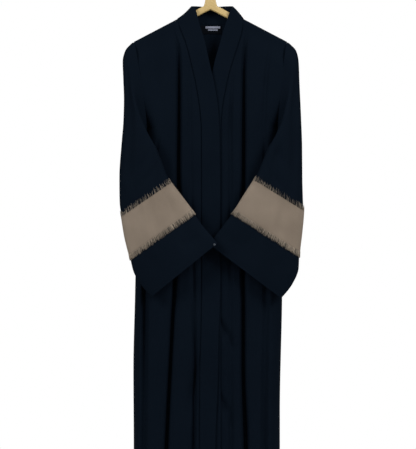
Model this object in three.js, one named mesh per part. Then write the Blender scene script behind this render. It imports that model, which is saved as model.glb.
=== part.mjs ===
// A long open abaya hanging on a wooden hanger. Millimetres, +Z up, the wearer's front towards -Y.
// The origin is where the hook rests on its rod. The wearer's right side is at -X.
import * as THREE from 'three';

// Cloth
const clothThickness = 1.5;
const foldedBandThickness = 2.2;
const wovenBandThickness = 1.6;
const labelThickness = 1.0;
const seamGap = 0.3;
const panelSeamGap = 0.5;
const hemHeight = -1536;

// Hanger
const armSlope = 0.524;
const armTopAtCentre = -85.5;
const armHalfThickness = 6;
const armEndX = 204;
const armDepthAtCentre = 20;
const armDepthAtEnd = 17;
const armRounding = 4.5;
const neckHalfWidth = 13;
const neckTop = -62;
const hookWireRadius = 1.75;
const hookInnerRadius = 18.5;

// Shoulder line of the cloth, lying over the hanger's arms
const shoulderAtCentre = -83.75;
const neckPointX = 90;
const armholeTopX = 208;

// Fringe
const strandsInFringe = 28;
const strandWidthShare = 0.13;
const strandTipHalf = 0.5;
const fringeStripWidth = 2.6;

const colours = {
  crepe: '#11171f',
  band: '#8a7c6e',
  fringe: '#6f6155',
  label: '#15181c',
  wood: '#d3b479',
  wire: '#b9bcc0',
  stud: '#3a3f47',
};

// A table is rows of numbers under named columns
function table(names, rows) {
  const columns = names.split(' ');
  return rows.map((row) => Object.fromEntries(columns.map((name, i) => [name, row[i]])));
}

// A smooth curve through a table's rows, read at any value of its first column
function curveThrough(rows) {
  const [key, ...names] = Object.keys(rows[0]);
  const secant = (a, b, name) => (b[name] - a[name]) / (b[key] - a[key]);
  const slope = (i, name) => {
    if (i === 0 || i === rows.length - 1) {
      return 0;
    }
    const before = secant(rows[i - 1], rows[i], name);
    const after = secant(rows[i], rows[i + 1], name);
    return before * after <= 0 ? 0 : 2 * before * after / (before + after);
  };
  return (value) => {
    const last = rows.length - 1;
    const clamped = Math.min(Math.max(value, rows[0][key]), rows[last][key]);
    let i = 0;
    while (i < last - 1 && rows[i + 1][key] < clamped) {
      i += 1;
    }
    const span = rows[i + 1][key] - rows[i][key];
    const t = (clamped - rows[i][key]) / span;
    const result = {};
    for (const name of names) {
      const start = rows[i][name] * (1 + 2 * t) * (1 - t) ** 2;
      const end = rows[i + 1][name] * t * t * (3 - 2 * t);
      const startSlope = slope(i, name) * span * t * (1 - t) ** 2;
      const endSlope = slope(i + 1, name) * span * t * t * (t - 1);
      result[name] = start + end + startSlope + endSlope;
    }
    return result;
  };
}

const smooth = (t) => {
  const c = Math.min(Math.max(t, 0), 1);
  return c * c * (3 - 2 * c);
};
const mix = (a, b, t) => a + (b - a) * t;

// A wall of even thickness round a grid of middle points, closed across its columns for a tube
function wallGeometry(rows, thickness, closedAcross = false) {
  const rowCount = rows.length;
  const columnCount = rows[0].length;
  const inside = (j) => Math.min(Math.max(j, 0), columnCount - 1);
  const wrap = (j) => (closedAcross ? (j + columnCount) % columnCount : inside(j));
  const limit = (i) => Math.min(Math.max(i, 0), rowCount - 1);
  const normals = rows.map((row, i) => row.map((point, j) => {
    const across = rows[i][wrap(j + 1)].clone().sub(rows[i][wrap(j - 1)]);
    const along = rows[limit(i + 1)][j].clone().sub(rows[limit(i - 1)][j]);
    return across.cross(along).normalize();
  }));
  const positions = [];
  for (const side of [0.5, -0.5]) {
    rows.forEach((row, i) => row.forEach((point, j) => {
      positions.push(...point.clone().addScaledVector(normals[i][j], side * thickness));
    }));
  }
  const front = (i, j) => i * columnCount + wrap(j);
  const back = (i, j) => (rowCount + i) * columnCount + wrap(j);
  const faces = [];
  const quad = (a, b, c, d) => faces.push(a, b, c, a, c, d);
  const columnSteps = closedAcross ? columnCount : columnCount - 1;
  for (let i = 0; i < rowCount - 1; i += 1) {
    for (let j = 0; j < columnSteps; j += 1) {
      quad(front(i, j), front(i, j + 1), front(i + 1, j + 1), front(i + 1, j));
      quad(back(i, j), back(i + 1, j), back(i + 1, j + 1), back(i, j + 1));
    }
    if (!closedAcross) {
      const end = columnCount - 1;
      quad(front(i, 0), front(i + 1, 0), back(i + 1, 0), back(i, 0));
      quad(front(i, end), back(i, end), back(i + 1, end), front(i + 1, end));
    }
  }
  const lastRow = rowCount - 1;
  for (let j = 0; j < columnSteps; j += 1) {
    quad(front(0, j), back(0, j), back(0, j + 1), front(0, j + 1));
    quad(front(lastRow, j), front(lastRow, j + 1), back(lastRow, j + 1), back(lastRow, j));
  }
  const geometry = new THREE.BufferGeometry();
  geometry.setAttribute('position', new THREE.Float32BufferAttribute(positions, 3));
  geometry.setIndex(faces);
  return geometry;
}

// A narrow ring of cloth whose first row carries a strand on every second column, pulled out to its tip
function fringeGeometry(rows, thickness, tips) {
  const ring = wallGeometry(rows, thickness, true);
  const columnCount = rows[0].length;
  const rowCount = rows.length;
  const positions = Array.from(ring.getAttribute('position').array);
  const old = Array.from(ring.getIndex().array);
  const corner = (layer, j) => layer * rowCount * columnCount + (j % columnCount);
  const isRootFace = (face) => face.every((v) => v % (rowCount * columnCount) < columnCount);
  const faces = [];
  for (let k = 0; k < old.length; k += 3) {
    const face = old.slice(k, k + 3);
    const columns = face.map((v) => v % columnCount);
    const first = columns.includes(0) && columns.includes(columnCount - 1)
      ? columnCount - 1 : Math.min(...columns);
    if (!(isRootFace(face) && first % 2 === 0)) {
      faces.push(...face);
    }
  }
  tips.forEach((tip, k) => {
    const j = 2 * k;
    const root = [corner(0, j), corner(1, j), corner(1, j + 1), corner(0, j + 1)];
    const points = root.map((v) => new THREE.Vector3(...positions.slice(3 * v, 3 * v + 3)));
    const middle = points.reduce((sum, p) => sum.add(p), new THREE.Vector3()).divideScalar(points.length);
    const base = positions.length / 3;
    for (const point of points) {
      positions.push(...point.sub(middle).setLength(strandTipHalf).add(tip));
    }
    for (let c = 0; c < 4; c += 1) {
      const next = (c + 1) % 4;
      faces.push(root[c], root[next], base + next, root[c], base + next, base + c);
    }
    faces.push(base, base + 1, base + 2, base, base + 2, base + 3);
  });
  const geometry = new THREE.BufferGeometry();
  geometry.setAttribute('position', new THREE.Float32BufferAttribute(positions, 3));
  geometry.setIndex(faces);
  return geometry;
}

// How far the cloth stands in front of and behind the middle, by height
const depthByHeight = curveThrough(table('drop front back', [
  [131, 9, 9],
  [170, 11.5, 13],
  [220, 17, 19],
  [300, 25, 27],
  [430, 33, 34],
  [700, 36, 38],
  [1000, 42, 43],
  [1536, 48, 47],
]));

// The armhole is a narrow oval from the shoulder tip down to the underarm, on each side
const armholes = {
  right: { topX: armholeTopX, topZ: -192.6, lowX: 168, lowZ: -428, halfDepth: 26 },
  left: { topX: armholeTopX, topZ: -192.6, lowX: 178, lowZ: -424, halfDepth: 26 },
};
const ovalPower = 0.8;

// Side seams below the underarm
const sideSeams = {
  right: curveThrough(table('drop x', [
    [428, 168],
    [500, 179],
    [600, 193],
    [700, 200],
    [900, 205],
    [1080, 209],
    [1300, 208],
    [1536, 210],
  ])),
  left: curveThrough(table('drop x', [
    [424, 178],
    [500, 186],
    [600, 194],
    [700, 196],
    [900, 194],
    [1200, 188],
    [1536, 188],
  ])),
};

function panelEdge(side, z) {
  const hole = armholes[side];
  if (z > hole.lowZ) {
    const half = (hole.topZ - hole.lowZ) / 2;
    const u = Math.min((z - (hole.topZ + hole.lowZ) / 2) / half, 1);
    const x = mix(hole.lowX, hole.topX, (u + 1) / 2);
    return { x, depth: hole.halfDepth * Math.sqrt(Math.max(1 - u * u, 0)) ** ovalPower };
  }
  return { x: sideSeams[side](-z).x, depth: 0 };
}

// Front bands: the seam to the panel and the free edge, from the shoulder down to the hem
const bandRows = {
  right: table('row seamX seamZ freeX freeZ', [
    [0, -90, -130.4, -51, -96],
    [1, -88, -137, -45, -99],
    [2, -84, -151, -38, -113],
    [3, -76, -171, -32, -139],
    [4, -68, -191, -23, -166],
    [5, -62, -210, -15, -195],
    [6, -52, -250, -5, -240],
    [7, -44, -284, 4, -280],
    [8, -37, -318, 12, -318],
    [9, -31, -355, 18, -355],
    [10, -26.5, -392, 22, -392],
    [11, -24, -432, 24, -432],
    [12, -23.5, -620, 25.6, -620],
    [13, -23.5, -860, 25.6, -860],
    [14, -25, -980, 22, -980],
    [15, -28, -1100, 20, -1100],
    [16, -29, -1290, 13, -1290],
    [17, -29, -1536, 12, -1536],
  ]),
  left: table('row seamX seamZ freeX freeZ', [
    [0, 90, -130.4, 60, -96],
    [1, 89, -137, 57, -101],
    [2, 87, -151, 51, -115],
    [3, 83, -171, 42, -141],
    [4, 77, -191, 34, -166],
    [5, 71, -210, 26, -195],
    [6, 58, -250, 13, -240],
    [7, 48.5, -284, 4, -280],
    [8, 41, -318, -5, -318],
    [9, 34, -355, -13, -355],
    [10, 29.5, -392, -20, -392],
    [11, 27.5, -432, -24, -432],
    [12, 27.5, -620, -25, -620],
    [13, 27.5, -860, -25, -860],
    [14, 27.5, -980, -25, -980],
    [15, 27.5, -1100, -25, -1100],
    [16, 28, -1290, -24, -1290],
    [17, 28, -1536, -23, -1536],
  ]),
};
const bandCurves = {
  right: curveThrough(bandRows.right),
  left: curveThrough(bandRows.left),
};
const seamByHeight = {
  right: curveThrough(bandRows.right.map((row) => ({ drop: -row.seamZ, x: row.seamX }))),
  left: curveThrough(bandRows.left.map((row) => ({ drop: -row.seamZ, x: row.seamX }))),
};

// The cloth arches over the hanger's arm before it hangs: distance down from the shoulder line and depth
const overArm = table('down depth', [[0, 0.25], [0.9, 5.4], [5, 8.2], [14, 9]]);
const overArmCurve = curveThrough(overArm);
const hangStart = 14;
const hangBlend = 60;

const shoulderZ = (x) => shoulderAtCentre - armSlope * Math.abs(x);

function hangingDepth(face, x, z, topZ = shoulderZ(x)) {
  const down = topZ - z;
  const hung = depthByHeight(-z)[face];
  if (down < hangStart) {
    return overArmCurve(Math.max(down, 0)).depth;
  }
  return mix(overArm.at(-1).depth, hung, smooth((down - hangStart) / hangBlend));
}

// Folds that run down each panel: x is the valley's line, half half its width, depth how far it goes in
const softFold = [0.5, 1, 0.5];
const deepFold = [0.45, 0.8, 1, 0.8, 0.45];
const foldLine = (rows) => curveThrough(table('drop x half depth', rows));
const frontFolds = {
  right: [
    {
      steps: softFold,
      at: foldLine([
        [131, 160, 6, 0],
        [430, 138, 8, 0],
        [560, 162, 13, 10],
        [860, 177, 13, 22],
        [1140, 179, 14, 14],
        [1536, 182, 15, 12],
      ]),
    },
    {
      steps: deepFold,
      at: foldLine([
        [131, 105, 4, 0],
        [170, 98, 7, 2],
        [217, 86, 9, 8],
        [300, 85, 10, 18],
        [600, 87, 10, 26],
        [860, 98, 9, 26],
        [1020, 106, 9, 28],
        [1290, 119, 10, 28],
        [1536, 126, 12, 30],
      ]),
    },
    {
      steps: softFold,
      at: foldLine([
        [131, 94.5, 1.5, 0],
        [217, 68, 4, 0],
        [300, 57, 8, 2],
        [600, 52, 10, 3],
        [900, 46, 10, 6],
        [1050, 42, 9, 11],
        [1290, 46, 10, 14],
        [1536, 50, 11, 15],
      ]),
    },
  ],
  left: [
    {
      steps: softFold,
      at: foldLine([
        [131, 165, 6, 0],
        [217, 160, 8, 2],
        [300, 150, 10, 4],
        [430, 145, 10, 4],
        [560, 150, 13, 6],
        [860, 150, 14, 7],
        [1200, 145, 14, 10],
        [1536, 146, 15, 14],
      ]),
    },
    {
      steps: deepFold,
      at: foldLine([
        [131, 105, 4, 0],
        [170, 98, 7, 3],
        [217, 93, 9, 9],
        [300, 90, 10, 18],
        [600, 89, 10, 26],
        [860, 88, 10, 26],
        [1060, 88, 10, 26],
        [1290, 95, 12, 30],
        [1536, 98, 13, 32],
      ]),
    },
    {
      steps: softFold,
      at: foldLine([
        [131, 94.5, 1.5, 0],
        [217, 74, 3, 0],
        [300, 60, 6, 2],
        [430, 54, 9, 5],
        [700, 54, 10, 4],
        [1000, 54, 10, 3],
        [1536, 56, 11, 8],
      ]),
    },
  ],
};
const backFolds = table('top low half depth', [
  [-150, -158, 14, 12],
  [-84, -96, 13, 24],
  [-30, -34, 12, 9],
  [32, 30, 13, 20],
  [84, 104, 13, 24],
  [146, 150, 13, 10],
]);
const neckPointStep = 0.3;
const neckPointReach = 8;
const backFoldStart = 150;
const backFoldFull = 620;

// The round edge of a panel, and its fineness
const edgeRound = 38;
const shoulderRound = 5;
const edgeRoundGrows = 70;
const edgeSteps = [0, 1.2, 6, 16];

function roundedToEdge(side, x, z, depth) {
  const edge = panelEdge(side, z);
  const inward = Math.abs(edge.x) - Math.abs(x);
  const round = mix(shoulderRound, edgeRound, smooth((armholes[side].topZ - z) / edgeRoundGrows));
  if (inward >= round) {
    return depth;
  }
  const rise = Math.sqrt(1 - (1 - Math.max(inward, 0) / round) ** 2);
  return mix(Math.min(edge.depth, depth), depth, rise);
}

// No fold goes deeper than this, and the cloth's edges nearly meet in the middle
const minimumDepth = 8.6;
const edgeDepth = 0.25;
const settlePasses = 4;

// Rows of every panel: distances down from the shoulder line, then heights
const topDrops = [0, 0.9, 5, 14, 38, 72];
const levels = [-292, -330, -370, -412, -440, -500, -600, -720, -860, -1000, -1150, -1340, hemHeight];

function frontColumns(side, z) {
  const edge = Math.abs(panelEdge(side, z).x);
  const seam = Math.abs(seamByHeight[side](-z).x) + panelSeamGap;
  const columns = edgeSteps.map((step) => ({ x: edge - step, dent: 0 }));
  for (const fold of frontFolds[side]) {
    const at = fold.at(-z);
    const outer = at.x + at.half;
    const previous = columns.at(-1).x;
    columns.push({ x: (previous + outer) / 2, dent: 0 });
    columns.push({ x: outer, dent: 0 });
    let afterCentre = false;
    for (const q of fold.steps) {
      const offset = at.half * (1 - q);
      columns.push({ x: at.x + (afterCentre ? -offset : offset), dent: at.depth * smooth(q) });
      afterCentre = afterCentre || q === 1;
    }
    columns.push({ x: at.x - at.half, dent: 0 });
  }
  columns.push({ x: (columns.at(-1).x + seam) / 2, dent: 0 });
  columns.push({ x: seam, dent: 0 });
  return columns;
}

function frontPanel(side) {
  const sign = side === 'right' ? -1 : 1;
  const rowFor = (zOf) => {
    const guess = frontColumns(side, zOf(armholeTopX));
    return guess.map((unused, j) => {
      let column = guess[j];
      let z = zOf(column.x);
      for (let pass = 0; pass < settlePasses; pass += 1) {
        column = frontColumns(side, z)[j];
        z = zOf(column.x);
      }
      const hung = hangingDepth('front', column.x, z);
      const folded = Math.max(hung - column.dent, Math.min(hung, minimumDepth));
      const depth = roundedToEdge(side, column.x, z, folded);
      return new THREE.Vector3(sign * column.x, -Math.max(depth, edgeDepth), z);
    });
  };
  const rows = [
    ...topDrops.map((drop) => rowFor((x) => shoulderZ(x) - drop)),
    ...levels.map((level) => rowFor(() => level)),
  ];
  return wallGeometry(rows, clothThickness);
}

// The back neckline: from the shoulder, round behind the hanger
const necklineCurve = curveThrough(table('x depth drop', [
  [0, 15, 142.6],
  [36, 14.4, 142],
  [60, 12.6, 139.8],
  [78, 10.6, 135.8],
  [84, 9.2, 131.6],
  [88, 5.6, 130],
  [90, 0.25, 130.4],
]));

function backColumns(z) {
  const right = Math.abs(panelEdge('right', z).x);
  const left = Math.abs(panelEdge('left', z).x);
  const grown = smooth((-z - backFoldStart) / (backFoldFull - backFoldStart));
  const columns = edgeSteps.map((step) => ({ x: -right + step, dent: 0 }));
  for (const fold of backFolds) {
    const x = mix(fold.top, fold.low, smooth(-z / -hemHeight));
    const depth = fold.depth * grown;
    const besideNeckPoint = Math.abs(Math.abs(fold.top) - neckPointX) < neckPointReach;
    const extra = besideNeckPoint ? [Math.sign(fold.top) * neckPointStep] : [];
    for (const offset of [-1, -0.5, 0, 0.5, 1, ...extra].sort((a, b) => a - b)) {
      columns.push({ x: x + fold.half * offset, dent: depth * smooth(1 - Math.abs(offset)) });
    }
  }
  columns.push(...[...edgeSteps].reverse().map((step) => ({ x: left - step, dent: 0 })));
  return columns;
}

function backPanel() {
  const necklineZ = (x) => -necklineCurve(Math.abs(x)).drop - seamGap;
  const topZ = (x) => (Math.abs(x) < neckPointX ? necklineZ(x) : shoulderZ(x));
  const rowFor = (zOf) => {
    const guess = backColumns(zOf(armholeTopX));
    return guess.map((unused, j) => {
      let column = guess[j];
      let z = zOf(column.x);
      for (let pass = 0; pass < settlePasses; pass += 1) {
        column = backColumns(z)[j];
        z = zOf(column.x);
      }
      const side = column.x < 0 ? 'right' : 'left';
      let hung = hangingDepth('back', column.x, z, topZ(column.x));
      if (Math.abs(column.x) < neckPointX) {
        hung = Math.max(necklineCurve(Math.abs(column.x)).depth, hung);
      }
      const folded = Math.max(hung - column.dent, Math.min(hung, minimumDepth));
      const depth = roundedToEdge(side, column.x, z, folded);
      return new THREE.Vector3(column.x, Math.max(depth, edgeDepth), z);
    });
  };
  const rows = [
    ...topDrops.map((drop) => rowFor((x) => topZ(x) - drop)),
    ...levels.map((level) => rowFor(() => level)),
  ];
  return wallGeometry(rows, clothThickness);
}

// A front band lies flat from its seam to its free edge. The right one passes over the left one
const bandAcross = [0, 0.33, 0.67, 1];
const bandLift = { right: 3.2, left: -3.6 };
const collarSag = { right: 2.5, left: -2 };
const leftCollarWiden = 1.165;
const collarRows = 3;
const bandDepthAtNeck = 15;

function frontBand(side) {
  const sign = side === 'right' ? 1 : -1;
  const rows = [];
  const last = bandRows[side].length - 1;
  const places = bandRows[side].flatMap(({ row }) => (row < collarRows ? [row, row + 0.5] : [row]));
  for (const place of places.filter((p) => p <= last)) {
    const at = bandCurves[side](place);
    const laid = smooth(place / collarRows);
    rows.push(bandAcross.map((t) => {
      const x = mix(at.seamX + sign * seamGap, at.freeX, t);
      const z = mix(at.seamZ, at.freeZ, t) - collarSag[side] * (1 - laid) * Math.sin(Math.PI * t);
      const seamDepth = hangingDepth('front', at.seamX, at.seamZ);
      const neckDepth = mix(edgeDepth, bandDepthAtNeck, smooth(place));
      const laidDepth = Math.max(seamDepth, bandDepthAtNeck) + bandLift[side];
      const freeDepth = mix(neckDepth, laidDepth, laid);
      return new THREE.Vector3(x, -mix(seamDepth, freeDepth, t), z);
    }));
  }
  return wallGeometry(rows, foldedBandThickness);
}

// The neck band stands up from the back neckline and meets both front bands at the shoulders
const neckBandTop = curveThrough(table('x topX depth drop', [
  [0, 0, 13.5, 97],
  [36, 22, 12.8, 95.5],
  [60, 36, 11, 94.5],
  [78, 45, 8.4, 94.5],
  [84, 48.5, 6, 95],
  [88, 50.5, 3.4, 95.6],
  [90, 51.5, 0.25, 96],
]));
const neckStations = [90, 88, 84, 78, 60, 36, 0];
const neckCurveStart = 60;
const neckCurveLength = 30;
const neckBandRaise = { centre: 0.35, neckPoint: 1.2 };

function neckBand() {
  const stations = [...neckStations.map((x) => -x), ...neckStations.slice(0, -1).reverse()];
  const rows = bandAcross.map((t) => stations.map((station) => {
    const sign = Math.sign(station);
    const low = necklineCurve(Math.abs(station));
    const high = neckBandTop(Math.abs(station));
    const sideways = smooth((Math.abs(station) - neckCurveStart) / neckCurveLength);
    const side = sign > 0 ? 'left' : 'right';
    const topX = high.topX * (side === 'left' ? leftCollarWiden : 1);
    const x = sign * mix(Math.abs(station), topX, t);
    const sag = collarSag[side] * sideways * Math.sin(Math.PI * t);
    const raise = mix(neckBandRaise.centre, neckBandRaise.neckPoint, sideways) * (1 - t);
    const z = mix(-low.drop, -high.drop, t) + raise - sag;
    return new THREE.Vector3(x, mix(low.depth, high.depth, t), z);
  }));
  return wallGeometry(rows, foldedBandThickness);
}

// Sleeves: rings from the armhole to the cuff. Each has an outer and an inner end and a depth each way
const sleeveRings = {
  right: table('ring outX outY outZ inX inY inZ front back', [
    [0, -208, 0, -192.6, -168, 0, -428, 26, 26],
    [1, -219, 0, -202, -172, -6, -434, 27, 25],
    [2, -231, -1, -217, -173, -16, -442, 27, 22],
    [3, -238, -3, -247, -168, -30, -453, 27, 19],
    [4, -236, -8, -298, -158, -44, -467, 27, 18],
    [5, -234, -15, -352, -145, -52, -484, 26, 18],
    [6, -235, -23, -406, -138, -58, -503, 24, 17],
    [7, -240, -32, -474, -130, -61, -523, 22, 16],
    [8, -245, -42, -556, -122, -63, -545, 20, 15],
    [9, -244, -50, -626, -114, -64, -564, 18, 14],
    [10, -238, -54, -668, -106, -64, -577, 17, 13],
    [11, -229, -58, -722, -78, -65, -614, 16, 13],
    [12, -217, -61, -770, -50, -67, -651, 15, 12],
    [13, -206, -64, -815, -22, -75, -691, 13, 12],
    [14, -184, -66, -852, 0, -84, -717, 11, 10],
    [15, -158, -68, -882, 18, -90, -739, 9, 9],
  ]),
  left: table('ring outX outY outZ inX inY inZ front back', [
    [0, 208, 0, -192.6, 178, 0, -424, 26, 26],
    [1, 220, 0, -203, 182, -6, -430, 27, 25],
    [2, 232, -1, -217, 182, -16, -438, 27, 22],
    [3, 239, -3, -247, 177, -30, -450, 27, 19],
    [4, 241, -8, -305, 168, -44, -465, 27, 18],
    [5, 243, -15, -356, 155, -52, -482, 26, 18],
    [6, 245, -23, -410, 147, -58, -501, 24, 17],
    [7, 247, -32, -485, 139, -61, -521, 22, 16],
    [8, 247, -42, -560, 131, -63, -541, 20, 15],
    [9, 248, -50, -618, 124, -64, -558, 18, 14],
    [10, 249, -54, -652, 117, -64, -570, 17, 13],
    [11, 244, -58, -710, 92, -64, -609, 16, 12],
    [12, 238, -61, -762, 66, -63, -650, 15, 11],
    [13, 236, -63, -806, 34, -62, -692, 12, 10],
    [14, 218, -64, -850, 13, -61, -720, 10, 9],
    [15, 189, -65, -886, -4, -61, -741, 8, 8],
  ]),
};
const sleeveColumns = 20;
const lastRing = 15;

// A few soft folds along each sleeve: where round it, how wide, how deep and between which rings
const sleeveFolds = {
  right: table('turn width depth from to', [
    [0.15, 0.05, 5, 2, 9],
    [0.35, 0.05, 4, 4, 15],
    [0.7, 0.05, 7, 1, 9],
    [0.85, 0.05, 3.4, 6, 15],
  ]),
  left: table('turn width depth from to', [
    [0.15, 0.05, 5, 3, 9],
    [0.3, 0.05, 5, 6, 15],
    [0.7, 0.05, 5, 1, 9],
    [0.85, 0.05, 3.4, 5, 15],
  ]),
};

function sleeveSurface(side) {
  const at = curveThrough(sleeveRings[side]);
  return (ring, turn) => {
    const row = at(ring);
    const angle = 2 * Math.PI * turn;
    const outer = new THREE.Vector3(row.outX, row.outY, row.outZ);
    const inner = new THREE.Vector3(row.inX, row.inY, row.inZ);
    const middle = outer.clone().add(inner).multiplyScalar(0.5);
    const half = outer.sub(inner).multiplyScalar(0.5);
    const sine = Math.sin(angle);
    const round = Math.sign(sine) * Math.abs(sine) ** ovalPower;
    let depth = sine > 0 ? row.front : row.back;
    for (const fold of sleeveFolds[side]) {
      const away = Math.abs(turn - fold.turn) / fold.width;
      const grown = smooth(ring - fold.from) * smooth((fold.to - ring) / 2);
      depth -= away < 1 ? fold.depth * grown * smooth(1 - away) : 0;
    }
    return middle.addScaledVector(half, Math.cos(angle)).add(new THREE.Vector3(0, -depth * round, 0));
  };
}
const sleeves = { right: sleeveSurface('right'), left: sleeveSurface('left') };

// The sleeve's middle points. It starts a little outside the armhole's edge, furthest at the underarm
const armholeGap = 1.1;
const underarmGap = 2.6;
const extraRingsFrom = 9;

function sleeveRows(side) {
  const rings = sleeveRings[side].map((row) => row.ring);
  const isSplit = (ring) => ring >= extraRingsFrom && ring < lastRing;
  const places = rings.flatMap((ring) => (isSplit(ring) ? [ring, ring + 0.5] : [ring]));
  const sign = side === 'right' ? -1 : 1;
  const rows = places.map((ring) => {
    const row = [];
    for (let j = 0; j < sleeveColumns; j += 1) {
      const point = sleeves[side](ring, j / sleeveColumns);
      const underarm = smooth(-2 * Math.cos(2 * Math.PI * j / sleeveColumns) - 1);
      point.x += sign * mix(armholeGap, underarmGap, underarm) * (1 - smooth(ring / 3));
      row.push(point);
    }
    return row;
  });
  return { places, rows };
}

// A point on the sleeve's own facets, at any ring and turn, moved out by lift
function onSleeve(side) {
  const { places, rows } = sleeveRows(side);
  const column = (j) => (j + sleeveColumns) % sleeveColumns;
  const normalAt = (i, j) => {
    const around = rows[i][column(j + 1)].clone().sub(rows[i][column(j - 1)]);
    const along = rows[Math.min(i + 1, rows.length - 1)][j].clone().sub(rows[i - 1][j]);
    const normal = around.cross(along).normalize();
    const away = rows[i][j].clone().sub(rows[i][column(j + sleeveColumns / 2)]);
    return normal.dot(away) > 0 ? normal : normal.negate();
  };
  return (ring, turn, lift) => {
    let i = 0;
    while (places[i + 1] < ring) {
      i += 1;
    }
    const down = (ring - places[i]) / (places[i + 1] - places[i]);
    const across = (turn - Math.floor(turn)) * sleeveColumns;
    const j = column(Math.floor(across));
    const between = across - Math.floor(across);
    const corner = (di, dj) => {
      const point = rows[i + di][column(j + dj)].clone();
      return point.addScaledVector(normalAt(i + di, column(j + dj)), lift);
    };
    const upper = corner(0, 0).lerp(corner(0, 1), between);
    const lower = corner(1, 0).lerp(corner(1, 1), between);
    return upper.lerp(lower, down);
  };
}

function sleeve(side) {
  return wallGeometry(sleeveRows(side).rows, clothThickness, true);
}

// The woven band and its two fringes lie round the sleeve, just off its cloth
const bandFrom = 10;
const bandTo = 12;
const clothHalf = clothThickness / 2;
const roomAtBends = 0.2;
const wovenLift = clothHalf + seamGap + wovenBandThickness / 2 + roomAtBends;

function cuffBand(side) {
  const at = onSleeve(side);
  const rows = [];
  for (let ring = bandFrom; ring <= bandTo; ring += 0.5) {
    const row = [];
    for (let j = 0; j < sleeveColumns; j += 1) {
      row.push(at(ring, j / sleeveColumns, wovenLift));
    }
    rows.push(row);
  }
  return wallGeometry(rows, wovenBandThickness, true);
}

// Strand lengths vary along the edge in a repeating rhythm
const strandLengths = [14, 11.5, 15.5, 13, 10.5, 15, 12.5];
const fringeThickness = 1.1;
const fringeGap = 0.6;
const fringeLift = wovenLift + 0.6;
const tipLift = 1;
const strandLean = 0.12;
const strandRhythm = 2.3;
const spacingStep = 0.4;

function cuffFringe(side, edge) {
  const at = onSleeve(side);
  const away = edge === 'upper' ? -1 : 1;
  const edgeRing = edge === 'upper' ? bandFrom : bandTo;
  const beyond = (turn, distance, lift) => {
    const start = at(edgeRing, turn, lift);
    const step = start.distanceTo(at(edgeRing + away * spacingStep, turn, lift));
    return at(edgeRing + away * spacingStep * distance / step, turn, lift);
  };
  const turns = [];
  for (let k = 0; k < strandsInFringe; k += 1) {
    turns.push(k / strandsInFringe, (k + strandWidthShare) / strandsInFringe);
  }
  const stripEdges = [fringeGap + fringeStripWidth, fringeGap];
  const rows = stripEdges.map((distance) => turns.map((turn) => beyond(turn, distance, fringeLift)));
  const tips = [];
  for (let k = 0; k < strandsInFringe; k += 1) {
    const lean = strandLean * Math.sin(strandRhythm * k);
    const turn = (k + strandWidthShare / 2 + lean) / strandsInFringe;
    const length = strandLengths[k % strandLengths.length];
    tips.push(beyond(turn, stripEdges[0] + length, fringeLift + tipLift));
  }
  return fringeGeometry(rows, fringeThickness, tips);
}

// The neck label is sewn inside the back, just below the neck band
const labelHalfWidth = 30;
const labelTop = -147;
const labelBottom = -170;
const labelOff = clothHalf + seamGap + labelThickness / 2 + 0.5;

function neckLabel() {
  const rows = [labelTop, labelBottom].map((z) => [-1, -0.5, 0, 0.5, 1].map((share) => {
    const x = share * labelHalfWidth;
    const hung = Math.max(necklineCurve(Math.abs(x)).depth, depthByHeight(-z).back);
    return new THREE.Vector3(x, hung - labelOff, z);
  }));
  return wallGeometry(rows, labelThickness);
}

// A small round stud on the front of the upper cuff
const studRadius = 3.5;
const studHeight = 2.4;
const studTurn = 0.44;
const studRing = 14.8;
const studSides = 10;
const studProfile = table('radiusShare heightShare', [
  [0, 0],
  [0.8, 0],
  [1, 0.3],
  [0.86, 0.7],
  [0.5, 0.95],
  [0, 1],
]);

function cuffStud() {
  const at = onSleeve('right');
  const seat = at(studRing, studTurn, clothHalf + seamGap);
  const profile = studProfile.map(({ radiusShare, heightShare }) => (
    new THREE.Vector2(radiusShare * studRadius, heightShare * studHeight)));
  const geometry = new THREE.LatheGeometry(profile, studSides);
  const outward = at(studRing, studTurn, studHeight).sub(at(studRing, studTurn, 0)).normalize();
  geometry.applyQuaternion(new THREE.Quaternion().setFromUnitVectors(new THREE.Vector3(0, 1, 0), outward));
  geometry.translate(seat.x, seat.y, seat.z);
  return geometry;
}

// Hanger arms: one piece of wood, both arms and the short neck, with rounded long edges
const armStations = table('inward narrow', [
  [0, 3.6],
  [2, 1.3],
  [6, 0],
  [54, 0],
  [114, 0],
  [185, 0],
]);
const neckSections = table('x high', [
  [neckHalfWidth + 1.5, neckTop - 16],
  [neckHalfWidth - 3, neckTop - 1],
  [0, neckTop],
]);
const sectionCorners = [[1, 1], [1, -1], [-1, -1], [-1, 1]];
const cornerSteps = [0, 0.5, 1];

function armSection(x, high, low) {
  const points = [];
  for (const [ySign, zSign] of sectionCorners) {
    const order = ySign * zSign > 0 ? cornerSteps : [...cornerSteps].reverse();
    for (const step of order) {
      const angle = step * Math.PI / 2;
      const y = ySign * (armHalfThickness - armRounding + armRounding * Math.sin(angle));
      const edge = zSign > 0 ? high - armRounding : low + armRounding;
      points.push(new THREE.Vector3(x, y, edge + zSign * armRounding * Math.cos(angle)));
    }
  }
  return points;
}

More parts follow.
